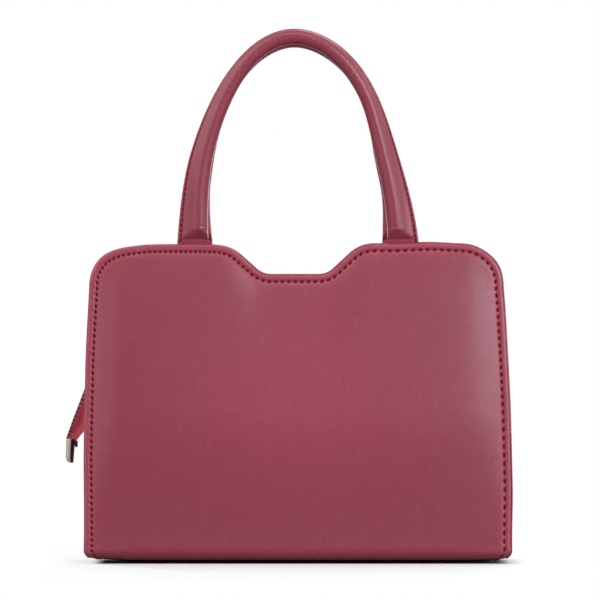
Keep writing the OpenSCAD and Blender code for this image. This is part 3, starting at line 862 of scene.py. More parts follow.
def stitch_points(starts, ends, normals, radius=THREAD_R, slant=SLANT):
    """Short arched threads, each from one needle hole to the next."""
    ahead = unit(ends - starts)
    side = unit(np.cross(normals, ahead))
    length = np.linalg.norm(ends - starts, axis=1)[:, None]
    trim = STITCH_TRIM * length
    a = starts + ahead * trim + side * slant
    b = ends - ahead * trim - side * slant
    rings = []
    for share, girth in STITCH_RINGS:
        lift = -DIP * (2 * share - 1) ** 4 + THREAD_LIFT * radius
        middle = lerp(a, b, share) + normals * lift
        for j in range(STITCH_SIDES):
            turn = 2 * math.pi * j / STITCH_SIDES
            away = side * math.cos(turn) + normals * math.sin(turn) * THREAD_FLAT
            rings.append(middle + girth * radius * away)
    return np.stack(rings, 1)


def stitch_mesh(name, runs, shape=settle):
    """One object of many stitches. runs holds (starts, ends, normals)."""
    points = np.concatenate([stitch_points(*run) for run in runs])
    rows = len(STITCH_RINGS)
    faces = repeated(tube_faces(rows, STITCH_SIDES), points.shape[1], len(points))
    uv = [
        (r / (rows - 1) * THREAD_TURNS, s / STITCH_SIDES)
        for r in range(rows) for s in range(STITCH_SIDES)
    ]
    uvs = np.tile(np.array(uv), (len(points), 1))
    return new_object(name, points.reshape(-1, 3), faces, THREAD, uvs=uvs, shape=shape)


# Panels and base

RIM_R = 0.6 * MM
RIM_SLOPE = 2.6 * MM
RIM_FALL = 0.42 * MM
PILLOW = 7 * MM
LEFT_REACH = 26 * MM
LEFT_STEP = 0.33
STEP_AT = 13 * MM
STEP_SOFT = 1.6 * MM
RIGHT_REACH = 20 * MM
TOP_REACH = 26 * MM
PILLOW_LOW = 8 * MM
PILLOW_HIGH = 105 * MM
PILLOW_WAVE = 0.5 * MM
# Middle, half sizes and softness of the lit middle of the front and back, away from which shade is painted
GLOW_HALF_W = 110 * MM
GLOW_HALF_H = 80 * MM
GLOW_Z = 112 * MM
GLOW_SOFT = 0.7
VALLEY = 0.5 * MM
THREAD_IN = SEAM_IN - 0.55 * MM
HOLE = 0.9 * MM
RING_INSETS = [
    i * MM for i in (
        0.9, 1.0, 1.2, 1.6, 2.2, 2.9, 3.6, 4.2, 4.6, 5, 5.4, 5.8, 6.4, 7.2, 8.4, 10, 12.2, 15, 18.4, 22.4,
    )
]
INNER_INSETS = [24.6 * MM]
PANEL_CELL = 4 * MM


def waves(x, along):
    """Slow unevenness of leather glued over a board."""
    crossing = np.sin(x / 0.031 + 1.1 * np.sin(along / 0.053)) * np.sin(along / 0.042 + 0.8)
    return 0.35 * crossing + 0.25 * np.sin(x / 0.067 - along / 0.081 + 0.5)


def rounding(d, r):
    """How far a turned edge falls away at a distance from its very edge."""
    k = np.clip(1 - d / r, 0, 1)
    return r * (1 - np.sqrt(1 - k * k))


def holes(phase):
    """1 at each needle hole, 0 half way to the next."""
    return 0.5 + 0.5 * np.cos(2 * math.pi * phase)


# The panel seam's height over each place from the middle to the side
SEAM_X, SEAM_Z = rim(np.linspace(STRETCHES, SIDE_STRETCH + 1, 4000), SEAM_IN)


def pillow(x, along):
    """How far the panel swells out of its flat place inside the seam."""
    z = height(np.abs(along))
    side = reach(BASE_W / 2, SIDE_LEAN, SEAM_IN, z) - np.abs(x)
    top = np.interp(np.abs(x), SEAM_X, SEAM_Z) - z
    side, top = np.maximum(side, 0), np.maximum(top, 0)
    board_edge = np.log1p(np.exp((STEP_AT - side) / STEP_SOFT)) * STEP_SOFT / STEP_AT
    left = 1 - (1 - LEFT_STEP) * np.exp(-side / LEFT_REACH) - LEFT_STEP * board_edge
    right = 1 - np.exp(-side / RIGHT_REACH)
    share = ramp(z, PILLOW_LOW, PILLOW_HIGH) * lerp(left, right, ramp(x, -30 * MM, 30 * MM))
    share = share * (1 - np.exp(-top / TOP_REACH))
    return share * (PILLOW + PILLOW_WAVE * waves(x, along))


def wrap_relief(x, along, d, phase):
    """How deep the leather's surface lies below its flat place, d inside its edge."""
    slope = np.clip(1 - (d - WRAP_BACK) / RIM_SLOPE, 0, 1)
    rim_fall = rounding(d - WRAP_BACK, RIM_R) + RIM_FALL * slope**2
    valley = VALLEY * dome(d, SEAM_IN, 1.1 * MM) * (0.7 + 0.3 * holes(phase))
    hole = HOLE * dome(d, SEAM_IN + 0.2 * MM, 0.55 * MM) * holes(phase) ** 3
    return rim_fall + valley + hole - pillow(x, along)


def body_wrap():
    """Front, base and back in one piece, with its rounded rim, and the thread of both panels."""
    w = seam_places()
    count = len(w)
    layout, faces, d, ring = sheet_layout(w, RING_INSETS, INNER_INSETS, PANEL_CELL)
    x, along = layout.T
    index = np.arange(ring)
    phase = np.where(index < count, index, 2 * (count - 1) - index) / PER_STITCH
    rings = len(RING_INSETS)
    phases = np.concatenate([np.tile(phase, rings), np.full(len(x) - ring * rings, 0.5)])
    outer = folded(x, along, wrap_relief(x, along, d, phases))
    inner = folded(x, along, WRAP_T - rounding(d - WRAP_BACK, RIM_R))
    # Painted shade in the needle holes along the seam
    seam = dome(d, SEAM_IN + 0.35 * MM, 1.1 * MM) * np.clip(1.3 * holes(phases), 0, 1) ** 1.3
    rim_mask = dome(d, WRAP_BACK, 0.9 * MM)
    # Painted shade mask: 0 at the lit middle, growing towards the panel's edges, none outside the seam
    far = (x / GLOW_HALF_W) ** 2 + ((height(np.abs(along)) - GLOW_Z) / GLOW_HALF_H) ** 2
    painted_falloff = (1 - np.exp(-far / GLOW_SOFT)) * ramp(d, SEAM_IN, SEAM_IN + 7 * MM)
    masks = {"seam": seam, "rim": rim_mask, "painted_falloff": painted_falloff}
    obj = solid_sheet("body_wrap_leather", outer, inner, faces, PANEL_LEATHER, masks=masks)
    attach(obj, "bag")
    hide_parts("body_wrap")
    for name, sign in (("front_seam_thread", -1), ("rear_seam_thread", 1)):
        line = w[::PER_STITCH]
        px, pa = edge(line, THREAD_IN)
        pa = sign * pa
        relief = wrap_relief(px, pa, np.full(len(px), THREAD_IN), np.full(len(px), 0.5))
        pts = folded(px, pa, relief)
        thread = stitch_mesh(name, [(pts[:-1], pts[1:], folded_normal((pa[:-1] + pa[1:]) / 2))])
        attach(thread, "bag")


body_wrap()


# Gussets: a web between flanges that lie on the wrap

BEND_R = 2 * MM
NEAR = WRAP_T + GUSSET_T
GUSSET_CELL = 4 * MM
GUSSET_BULGE = 9.4 * MM
BULGE_TOP = {-1: 78 * MM, 1: 90 * MM}
FLANGE_ROWS = (0, 0.2, 0.45, 0.65, 0.9, 1.3, 2.4, 3.8, 4.9, 5.5, 6.1)
HEM_ROWS = (0.3, 0.9, 2.4, 3.0, 3.6)
HEM_STEPS = 24
HEM_SEAM = 3 * MM
HIDDEN_SHADE = {-1: 0.15, 1: 0.9}
WEB_AWAY = 20 * MM


def gusset_bulge(side, y, z):
    """How far the web swells out of its flat place."""
    half = wall_y(z, NEAR + BEND_R)
    across = np.clip(1 - (y / half) ** 2, 0, 1)
    top = BULGE_TOP[side]
    up = ramp(z, NEAR, 42 * MM) * (1 - ramp(z, top - 30 * MM, top))
    fold = 0.5 * MM * np.sin(y / 0.011) * ramp(z, 10 * MM, 40 * MM) * (1 - ramp(z, 50 * MM, 76 * MM))
    return (GUSSET_BULGE * up + fold) * across**0.8


def side_point(side, inset, y, z):
    return np.stack([side * reach(BASE_W / 2, SIDE_LEAN, inset, z), y, z], -1)


def u_line(run, depth):
    """y and z of the wrap's cross-section, depth below its outer face."""
    p = folded(np.zeros_like(run), run, depth)
    return p[..., 1], p[..., 2]


def foot_inset(z, inset):
    """Inset that also keeps clear of the rounded lower corners."""
    spare = reach(BASE_W / 2, SIDE_LEAN, 0, z) - foot_width(z)
    return inset + np.maximum(spare, 0) * (1 - ramp(inset, 5 * MM, 8 * MM))


def under_edge(d):
    """1 on the part of a flange that lies close behind the panel's edge, where painted shade darkens it."""
    near = ramp(d, WRAP_BACK - 0.6 * MM, WRAP_BACK - 0.3 * MM)
    return near * (1 - ramp(d, WRAP_BACK + MM, WRAP_BACK + 2 * MM))


def gusset(side, name):
    """A flange along the front, the base and the back, a bend, and the web with its hem."""
    top = along_of(GUSSET_H)
    count = 2 * round(2 * top / (STITCH / 2) / 2)
    run = np.linspace(-top, top, count + 1)
    bend = [math.pi / 2 * k / 6 for k in range(7)]
    section = [(i * MM - EDGE_PROUD, NEAR) for i in FLANGE_ROWS]
    back = [(i * MM - EDGE_PROUD, WRAP_T) for i in FLANGE_ROWS]
    for b in bend:
        across, down = math.sin(b), 1 - math.cos(b)
        section.append((WEB_IN - BEND_R + BEND_R * across, NEAR + BEND_R * down))
        back.append((lerp(WEB_IN - BEND_R, TAPE_IN, across), lerp(WRAP_T, NEAR + BEND_R, down)))
    sides = []
    for which, points in (("out", section), ("in", back)):
        rings = []
        for inset, depth in points:
            pinch = rounding(inset + EDGE_PROUD, 0.6 * MM) * (1 if which == "out" else -1)
            y, z = u_line(run, depth - pinch)
            rings.append(side_point(side, foot_inset(z, inset), y, z))
        sides.append(rings)
    y, z = u_line(run, NEAR + BEND_R)
    boundary = np.stack([y, z], -1)
    hem_y = np.linspace(y[-1], y[0], HEM_STEPS + 2)[1:-1]
    boundary = np.concatenate([boundary, np.stack([hem_y, np.full(HEM_STEPS, z[0])], -1)])
    hem_rows = [np.stack([hem_y, np.full(HEM_STEPS, z[0] - i * MM)], -1) for i in HEM_ROWS]
    middle = lattice(boundary * np.array([0.95, 1]), GUSSET_CELL)
    middle = middle[(middle[:, 1] < z[0] - 5 * MM) & (middle[:, 1] > z.min() + 2 * MM)]
    loose = np.concatenate(hem_rows + [middle])
    rows = len(section)
    faces = grid_faces(rows, count + 1)
    start = (rows - 1) * (count + 1)
    web_faces = [[start + i for i in t] for t in fill(boundary, loose)]
    web = np.concatenate([boundary[count + 1:], loose])
    wy, wz = web.T
    hem = rounding(z[0] - wz, 0.9 * MM) * 0.75
    top_groove = 0.35 * MM * dome(z[0] - wz, HEM_SEAM, 0.5 * MM)
    swell = gusset_bulge(side, wy, wz)
    outer_web = side_point(side, WEB_IN + hem + top_groove - swell, wy, wz)
    inner_web = side_point(side, TAPE_IN - hem - swell, wy, wz)
    outer = np.concatenate(sides[0] + [outer_web])
    inner = np.concatenate(sides[1] + [inner_web])
    d = np.concatenate([np.full(count + 1, p[0]) for p in section] + [np.full(len(wy), WEB_AWAY)])
    hem_mask = np.concatenate([np.zeros(rows * (count + 1)), dome(z[0] - wz, 0, 0.8 * MM)])
    rim_mask = np.maximum(dome(d, -EDGE_PROUD, 0.8 * MM), hem_mask)
    # Painted shade in the seam, and on the flange's other face close behind the panel's edge
    hidden = under_edge(d) * HIDDEN_SHADE[side]
    masks = {"seam": (dome(d, SEAM_IN, 0.7 * MM), hidden), "rim": (rim_mask, np.zeros(len(d)))}
    obj = solid_sheet(name + "_leather", outer, inner, faces + web_faces, GUSSET_LEATHER, masks=masks)
    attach(obj, "bag")
    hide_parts(name)
    stitch_run = np.linspace(-top, top, round(2 * top / STITCH) + 1)
    sy, sz = u_line(stitch_run, NEAR)
    line = side_point(side, foot_inset(sz, SEAM_IN), sy, sz)
    into = -folded_normal((stitch_run[:-1] + stitch_run[1:]) / 2)
    hem_line = np.linspace(y[0] + HEM_SEAM, y[-1] - HEM_SEAM, round((y[-1] - y[0]) / STITCH))
    hz = np.full(len(hem_line), GUSSET_H - HEM_SEAM)
    hem_points = side_point(side, WEB_IN + 0.2 * MM - gusset_bulge(side, hem_line, hz), hem_line, hz)
    out = np.tile([side * math.cos(SIDE_LEAN), 0, math.sin(SIDE_LEAN)], (len(hem_line) - 1, 1))
    runs = [(line[:-1], line[1:], into), (hem_points[:-1], hem_points[1:], out)]
    thread = stitch_mesh(name + "_thread", runs)
    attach(thread, "bag")


gusset(-1, "left_gusset")
gusset(1, "right_gusset")


# Zip facings: leather strips along the outline, with a flange on the panel and a turned edge
# beside the zip


def rim_points(w, loops):
    """World points of section loops (places, points, 2) of (inset, y) along the outline."""
    x, z = rim(w, 0)
    out = rim_out(w)
    inset = loops[..., 0]
    px = x[:, None] - out[:, :1] * inset
    pz = z[:, None] - out[:, 1:] * inset
    return np.stack([px, loops[..., 1], pz], -1)


def tab_dip(x, span):
    """1 where a handle's tab lies between the panel and the facing."""
    far = np.abs(x)
    low, high = span - FOOT_HALF_W, span + HANDLE_R + HANDLE_FLANGE_W
    return ramp(far, low - 5 * MM, low) * (1 - ramp(far, high, high + 5 * MM))


TAB_ROOM = 1.5 * MM
FACING_SHARES = (0.08, 0.2, 0.35, 0.5, 0.63, 0.74)
FACING_HEM = (4.2, 3.4, 2.95, 2.6, 2.25, 1.7, 0.9, 0.35, 0.0)
HEM_LINE = 3 - len(FACING_HEM)
CROWN = slice(13, 20)


def facing_sections(w, span):
    """Centre lines of a facing's section: inset and distance from the middle of the bag."""
    x, z = rim(w, 0)
    depth = WRAP_T + GUSSET_T / 2
    dip = tab_dip(x, span) * ramp(z, BODY_H - 30 * MM, BODY_H - 20 * MM)
    yw = wall_y(z, depth) - TAB_ROOM * dip
    edge_y = FACING_GAP / 2 + GUSSET_T / 2
    bend = BEND_R + GUSSET_T / 2
    web = WEB_IN + GUSSET_T / 2
    first = GUSSET_T / 2 - EDGE_PROUD
    points = [(first + i * MM, yw) for i in (0, 0.15, 0.4, 1.0, 2.2, 3.4)]
    for k in range(7):
        b = math.pi / 2 * k / 6
        points.append((web - bend + bend * math.sin(b), yw - bend * (1 - math.cos(b))))
    points += [(web, lerp(yw - bend, edge_y, s)) for s in FACING_SHARES]
    points += [(web, edge_y + h * MM) for h in FACING_HEM]
    inset = np.stack([np.broadcast_to(p[0], w.shape) for p in points], 1)
    y = np.stack([np.broadcast_to(p[1], w.shape) for p in points], 1)
    return np.stack([inset, y], -1)


def zip_facing(facing, name, span):
    """One facing, its groove beside the zip, and the thread of both its seams."""
    start = stretch_at(GUSSET_H + 0.15 * MM)
    w, _ = spaced(WEB_IN, STITCH / PER_STITCH, start)
    centre = facing_sections(w, span)
    size = centre.shape[1]
    phase = np.arange(len(w)) / PER_STITCH
    lift = np.zeros(centre.shape[:2])
    line = size + HEM_LINE
    lift[:, line] -= 0.35 * MM * (0.4 + 0.6 * holes(phase))
    lift[:, line + 2:line + 5] += 0.12 * MM
    lift[:, CROWN] += 0.4 * MM * np.sin(np.linspace(0, math.pi, CROWN.stop - CROWN.start))
    loops = thick_strip(centre, GUSSET_T, lift)
    loops[..., 1] *= facing
    points = rim_points(w, loops)
    near = np.arange(loops.shape[1])
    seam = np.zeros(loops.shape[:2])
    # Painted shade in the hem's needle holes and on the flange close behind the panel's edge
    seam[:, line] = 0.25 + 0.75 * holes(phase) ** 3
    seam[:, :6] = 0.35 * under_edge(centre[:, :6, 0])
    rim_mask = np.zeros(loops.shape[:2])
    rim_mask[:, (near >= size - 1) & (near <= size + 2)] = 1
    rim_mask[:, [0, loops.shape[1] - 1, loops.shape[1] - 2]] = 1
    obj = new_object(
        name + "_leather", points.reshape(-1, 3), swept(points), FACING_LEATHER,
        masks={"seam": seam.ravel(), "rim": rim_mask.ravel()},
    )
    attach(obj, "bag")
    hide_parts(name)
    runs = []
    top = points[::PER_STITCH, line]
    out = rim_out((w[:-PER_STITCH:PER_STITCH] + w[PER_STITCH::PER_STITCH]) / 2)
    normal = np.stack([out[:, 0], np.zeros(len(out)), out[:, 1]], -1)
    steps = min(len(top) - 1, len(normal))
    runs.append((top[:steps], top[1:steps + 1], normal[:steps]))
    seam_w, _ = spaced(SEAM_IN, STITCH, start)
    sx, sz = rim(seam_w, SEAM_IN)
    dip = tab_dip(sx, span) * ramp(sz, BODY_H - 35 * MM, BODY_H - 25 * MM)
    sy = wall_y(sz, NEAR) - TAB_ROOM * dip
    seam_points = np.stack([sx, facing * sy, sz], -1)
    into = np.tile([0, -facing * math.cos(PANEL_LEAN), -math.sin(PANEL_LEAN)], (len(sx) - 1, 1))
    runs.append((seam_points[:-1], seam_points[1:], into))
    thread = stitch_mesh(name + "_thread", runs)
    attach(thread, "bag")


zip_facing(-1, "front_zip_facing", FRONT_HALF_SPAN)
zip_facing(1, "rear_zip_facing", REAR_HALF_SPAN)


# Zip tape and teeth


def zip_tape(facing, name):
    """One half of the tape, with a bead under its teeth."""
    low = stretch_at(GUSSET_H - 6 * MM)
    w, step = spaced(TAPE_MID_IN, 2.5 * MM, low)
    ys = np.array([16, 15.4, 13, 11, 9, 7.8, 6.6, 5.4, 4.4, 3.7, 3.2, 2.6, 2.0, 1.4]) * MM
    bead = 0.45 * MM * dome(ys, 3.0 * MM, 0.9 * MM)
    sag = 0.25 * MM * dome(ys, 6.0 * MM, 1.6 * MM)
    inset = TAPE_MID_IN + 0.06 * MM + sag
    centre = np.empty((len(w), len(ys), 2))
    centre[..., 0] = inset
    centre[..., 1] = ys
    lift = np.tile(bead, (len(w), 1))
    loops = thick_strip(centre, TAPE_T, lift)
    loops[..., 1] *= facing
    points = rim_points(w, loops)
    u = np.arange(len(w)) * step
    uvs = np.stack([np.broadcast_to(u[:, None], loops.shape[:2]), loops[..., 1]], -1).reshape(-1, 2)
    obj = new_object(name + "_weave", points.reshape(-1, 3), swept(points), TAPE_CLOTH, uvs=uvs)
    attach(obj, "bag")
    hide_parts(name)


# A tooth's sections, from the tape's edge inwards: place across, half length and half height
TOOTH_SECTIONS = [
    (3.0, 0.5, 0.85), (2.85, 0.66, 1.0), (1.3, 0.68, 1.0), (0.9, 0.6, 0.95),
    (0.5, 0.42, 0.8), (0.1, 0.38, 0.72), (-0.45, 0.4, 0.72), (-0.75, 0.3, 0.55),
]
TOOTH_SIDES = 10
TOOTH_SQUARE = 0.45
SHARP_METAL = 50


def teeth_mesh(name, centres, aheads, outs, side, tall=CHAIN_T):
    """Zip teeth at the centres. Each reaches from its tape's edge past the middle."""
    across = np.cross(outs, aheads)
    across *= np.sign(across[:, 1:2]) * side
    rows = []
    for y, half_len, half_h in TOOTH_SECTIONS:
        for j in range(TOOTH_SIDES):
            turn = 2 * math.pi * (j + 0.5) / TOOTH_SIDES
            c, s = math.cos(turn), math.sin(turn)
            a = math.copysign(abs(c) ** TOOTH_SQUARE, c) * half_len * MM
            h = math.copysign(abs(s) ** TOOTH_SQUARE, s) * half_h * tall / 2
            rows.append(centres + across * y * MM + aheads * a + outs * h)
    points = np.stack(rows, 1)
    faces = repeated(tube_faces(len(TOOTH_SECTIONS), TOOTH_SIDES), points.shape[1], len(points))
    return new_object(name, points.reshape(-1, 3), faces, DARK_METAL, sharp=SHARP_METAL)


def zip_teeth(facing, name):
    """Every other tooth of the closed zip, from the stop to the tail's root."""
    low = stretch_at(TEETH_LOW)
    high = 2 * STRETCHES - stretch_at(TAIL_HIGH)
    w, _ = spaced(TAPE_MID_IN, TOOTH_STEP / 2, low, high)
    w = w[1 if facing < 0 else 2:-1:2]
    x, z = rim(w, TAPE_MID_IN)
    before, after = rim(w - 1e-4, TAPE_MID_IN), rim(w + 1e-4, TAPE_MID_IN)
    ax, az = after[0] - before[0], after[1] - before[1]
    zeros = np.zeros_like(x)
    out = rim_out(w)
    obj = teeth_mesh(
        name + "_metal",
        np.stack([x, zeros, z], -1),
        unit(np.stack([ax, zeros, az], -1)),
        np.stack([out[:, 0], zeros, out[:, 1]], -1),
        facing,
    )
    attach(obj, "bag")
    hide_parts(name)


for side, row in ((-1, "front"), (1, "rear")):
    zip_tape(side, row + "_zip_tape")
    zip_teeth(side, row + "_zip_teeth")


# Small metal pieces: copies of the solids with their edges rounded


def joined_faces(mesh, flat):
    """A solid's mesh with its points merged and faces joined that turn by less than flat."""
    bm = bmesh.new()
    bm.from_mesh(mesh)
    bmesh.ops.remove_doubles(bm, verts=bm.verts, dist=1e-6)
    bmesh.ops.dissolve_limit(bm, angle_limit=math.radians(flat), verts=bm.verts, edges=bm.edges)
    return bm


def refined(node, width, material, body):
    """A copy of a solid, moved with the settled bag, with its edges rounded."""
    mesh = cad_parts[node].data.copy()
    bm = joined_faces(mesh, 4)
    bm.to_mesh(mesh)
    bm.free()
    coords = settle([v.co for v in mesh.vertices])
    mesh.vertices.foreach_set("co", coords.ravel())
    mesh.materials.clear()
    mesh.materials.append(material)
    obj = put(node + "_metal", mesh)
    soften = obj.modifiers.new("rounded edges", "BEVEL")
    soften.width = width
    soften.segments = 3
    soften.limit_method = "ANGLE"
    soften.angle_limit = math.radians(35)
    soften.harden_normals = False
    graph = bpy.context.evaluated_depsgraph_get()
    done = bpy.data.meshes.new_from_object(obj.evaluated_get(graph))
    obj.modifiers.clear()
    obj.data = done
    done.shade_smooth()
    done.set_sharp_from_angle(angle=math.radians(40))
    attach(obj, body)
    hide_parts(node)


refined("zip_end_stop", 0.3 * MM, BRIGHT_METAL, "bag")
refined("zip_slider", 0.18 * MM, BRIGHT_METAL, "slider")
refined("zip_puller", 0.25 * MM, BRIGHT_METAL, "puller")
refined("zip_cap_screw", 0.15 * MM, DARK_METAL, "zip_tail")


# Zip tail

TAIL_OUT = TAPE_T / 2 + GAP + TAPE_T
TAIL_TIP = (TAIL_REACH - TAIL_OUT, TAIL_ROOT_H - TAIL_DROP)
TAIL_ANGLE = math.atan(TAIL_TIP[0] / TAIL_DROP)
CAP_IN = TAIL_TIP[0] - CAP_W


def tail_point(x, y, z):
    """World point of a place out from the tail's hinge line and up from its lower end."""
    out = x + TAIL_OUT
    side_x = reach(BASE_W / 2, SIDE_LEAN, TAPE_MID_IN, TAIL_LOW)
    wx = side_x + out * math.cos(SIDE_LEAN) - z * math.sin(SIDE_LEAN)
    wz = TAIL_LOW + out * math.sin(SIDE_LEAN) + z * math.cos(SIDE_LEAN)
    return np.stack(np.broadcast_arrays(-wx, y, wz), -1)


RIDGE_COVER = 1.1 * MM
RIDGE_BOW = 1.0 * MM


def zip_tail_tape():
    """Both tapes of the folded zip end as one soft leaf. v runs up it and u outwards from its
    root: its lower end goes into the cap's pocket, and then it widens out to the teeth."""
    ridge_in = CHAIN_T / math.cos(TAIL_ANGLE) - RIDGE_COVER
    top = TAIL_ROOT_H - ridge_in / math.tan(TAIL_ANGLE)
    rows, cols = 40, 24
    v, u = np.meshgrid(np.linspace(0, 1, rows), np.linspace(-0.1, 1, cols), indexing="ij")
    tuck, knee = 0.08, 0.2
    down = np.clip(v / tuck, 0, 1)
    over = np.clip((v - tuck) / (knee - tuck), 0, 1)
    high = np.clip((v - knee) / (1 - knee), 0, 1)
    neck_x = CAP_IN + CAP_W - CAP_WALL - 0.2 * MM
    ridge_x = lerp(CAP_IN + CAP_WALL + 0.4 * MM, neck_x, over)
    ridge_x += (TAIL_TIP[0] - ridge_in - neck_x) * ramp(v, knee - 0.02, knee + 0.03)
    ridge_x += (0.2 * MM - TAIL_TIP[0] + ridge_in) * high + RIDGE_BOW * 4 * high * (1 - high)
    ridge_z = TAIL_TIP[1] - CAP_SLOT + GAP + down * 0.2 * MM + (CAP_SLOT - 0.2 * MM) * over
    ridge_z += (top - TAIL_TIP[1] - GAP) * high
    root_z = v * top
    k = np.clip(u, 0, 1)
    bell = 4 * k * (1 - k)
    x = lerp(0, ridge_x, k) + np.minimum(u, 0) * 14 * MM
    z = lerp(root_z, ridge_z, k) + 5.0 * MM * bell * k * (1 - v) ** 4
    half = 0.75 * MM + 0.9 * MM * dome(k, 0.86, 0.16) * ramp(v, 0.2, 0.3) * (1 - 0.6 * ramp(v, 0.6, 1))
    half += 1.9 * MM * (1 - ramp(u, -0.1, 0.22))
    half *= 1 - 0.35 * ramp(v, 0.9, 1)
    lean = 1.3 * MM * np.sin(v * 5 + 0.6) * bell * (1 - v)
    lean += 0.35 * MM * np.sin(k * 9 + v * 7) * bell * (1 - v)
    front = tail_point(x, lean - half, z)
    back = tail_point(x, lean + half, z)
    uvs = np.stack([v * TAIL_ROOT_H, u * TAIL_REACH], -1).reshape(-1, 2)
    obj = solid_sheet(
        "zip_tail_weave", front.reshape(-1, 3), back.reshape(-1, 3), grid_faces(rows, cols), TAPE_CLOTH,
        uvs=uvs,
    )
    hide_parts("zip_tail_tape")
    hinge = tail_point(0, 0, TAIL_ROOT_H / 2)
    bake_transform(obj)


TAIL_TEETH_T = 1.7 * MM
TAIL_CLEAR = CHAIN_W / 2 + GAP + 0.5 * MM


def zip_tail_teeth():
    """Two rows of teeth, closed into each other, along the tail's outer edge."""
    ridge_in = TAIL_TEETH_T / math.cos(TAIL_ANGLE)
    low = np.array([TAIL_TIP[0] - ridge_in / 2, TAIL_TIP[1] + 0.6 * MM])
    high = np.array([TAIL_CLEAR - ridge_in / 2, TAIL_ROOT_H - TAIL_CLEAR / math.tan(TAIL_ANGLE)])
    count = round(np.linalg.norm(high - low) / (TOOTH_STEP / 2))
    ahead = unit(high - low)
    out = np.array([ahead[1], -ahead[0]])
    zero = tail_point(0, 0, 0)
    ahead3 = tail_point(ahead[0], 0, ahead[1]) - zero
    out3 = tail_point(out[0], 0, out[1]) - zero
    joined = []
    for side, first in ((-1, 0), (1, 1)):
        k = np.arange(first, count, 2) / count
        bow = RIDGE_BOW * 4 * k * (1 - k)
        x, z = lerp(low[0], high[0], k) + bow, lerp(low[1], high[1], k)
        centres = tail_point(x, np.zeros(len(k)), z)
        joined.append(teeth_mesh(
            "tail_row" + str(first), centres,
            np.tile(ahead3, (len(k), 1)), np.tile(out3, (len(k), 1)), side, TAIL_TEETH_T,
        ))
    with bpy.context.temp_override(active_object=joined[0], selected_editable_objects=joined):
        bpy.ops.object.join()
    obj = joined[0]
    obj.name = "zip_tail_teeth_metal"
    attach(obj, "zip_tail")
    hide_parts("zip_tail_teeth")


CAP_LEVELS = 34
CAP_RIDGE = -0.1
CAP_XS = [
    -1, -0.985, -0.94, -0.86, -0.72, -0.5, -0.3, -0.16, -0.1, -0.04, 0.1, 0.3, 0.5, 0.72, 0.86, 0.94, 0.985,
]
CAP_POWER = 6.0
# The pocket's rings: shares of the cap's width and depth, and how far down in millimetres
POCKET = ((0.62, 0.42, 0.0), (0.58, 0.38, 0.15), (0.56, 0.36, CAP_SLOT / MM))


def cap_section():
    """x and y shares of the cap's outline: a soft ridge runs down its front and its back."""
    x = np.array(CAP_XS)
    fall = np.where(x < CAP_RIDGE, 0.2 * (CAP_RIDGE - x), 0.1 * (x - CAP_RIDGE))
    y = (1 - np.abs(x) ** CAP_POWER) ** (1 / CAP_POWER) - fall * (np.abs(x) < 0.99)
    return np.concatenate([x, x[::-1]]), np.concatenate([-y, y[::-1]])


def zip_end_cap():
    """A cast cap with flat faces and rounded edges: its outer side curves in at the lower end,
    and the tapes go into a pocket in its top."""
    ex, ey = cap_section()
    rings = []
    for level in range(CAP_LEVELS):
        k = level / (CAP_LEVELS - 1)
        down = CAP_LEN * (0.5 - 0.5 * math.cos(math.pi * k))
        curve = max(down - (CAP_LEN - CAP_CURVE_H), 0) / CAP_CURVE_H
        outer = TAIL_TIP[0] - CAP_CURVE_W * (1 - math.sqrt(1 - min(curve, 1) ** 2))
        inner = CAP_IN + 0.8 * MM * down / CAP_LEN
        shut = float(rounding(CAP_LEN - down, 0.9 * MM)) + float(rounding(down, 0.45 * MM))
        half_x = (outer - inner) / 2 - shut * 0.9
        half_y = CAP_D / 2 * (1 - 0.10 * down / CAP_LEN) - shut
        z = TAIL_TIP[1] - down
        x = (outer + inner) / 2 + ex * half_x
        rings.append(tail_point(x, ey * half_y, np.full(len(ex), z)))
    pocket = []
    for wide, deep, drop in POCKET:
        z = np.full(len(ex), TAIL_TIP[1] - drop * MM)
        x = CAP_IN + CAP_W / 2 + ex * CAP_W / 2 * wide
        pocket.append(tail_point(x, ey * CAP_D / 2 * deep, z))
    points = np.stack(pocket[::-1] + rings)
    # Painted dark reflection on the cap's side turned to the bag, which mirrors the shaded gusset there
    painted_reflection_shade = (1 - ramp(ex, CAP_RIDGE - 0.06, CAP_RIDGE + 0.02)) * (0.4 + 0.6 * ramp(ex, -0.97, -0.75))
    obj = new_object(
        "zip_end_cap_metal", points.reshape(-1, 3), swept(points), CAP_METAL,
        masks={"painted_reflection_shade": np.tile(painted_reflection_shade, len(points))}, sharp=SHARP_METAL,
    )
    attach(obj, "zip_tail")
    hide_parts("zip_end_cap")


zip_tail_tape()
zip_tail_teeth()
zip_end_cap()


# Handles

ROUND_STEPS = 18
ROUND_SWEEP = math.radians(125)
TIP_STEPS = [
    i * MM for i in (0, 0.08, 0.25, 0.5, 0.9, 1.4, 1.8, 2.1, 2.35, 2.6, 2.9, 3.3, 3.9, 4.8, 6.0, 7.6, 9.2)
]
HANDLE_SEAM_IN = 2.35 * MM
HANDLE_STITCH = 3.5 * MM
TENT_SLOPE = 0.75
TENT_START = 1.6 * MM
SAG = 0.3 * MM
FULL_R = 6.3 * MM
TENT_EDGE = 0.16 * MM
WIDEST = HANDLE_R * (1 - math.cos(math.pi - ROUND_SWEEP)) + HANDLE_FLANGE_W + HANDLE_T / 2
PLY = SLIT / 2 + HANDLE_T
LEAN = 2.6 * MM
REAR_BOW = 3.8 * MM
FOOT_INNER = 5.6 * MM
FOOT_DROPS = (2.6 * MM, 1.7 * MM, 0.8 * MM)
FOOT_SQUEEZE = 0.72
ACROSS = np.array([0, 1.0, 0])


def flange_at(turn):
    return HANDLE_FLANGE_W * (1 - np.sin(turn)) ** FLANGE_POWER + HANDLE_T / 2


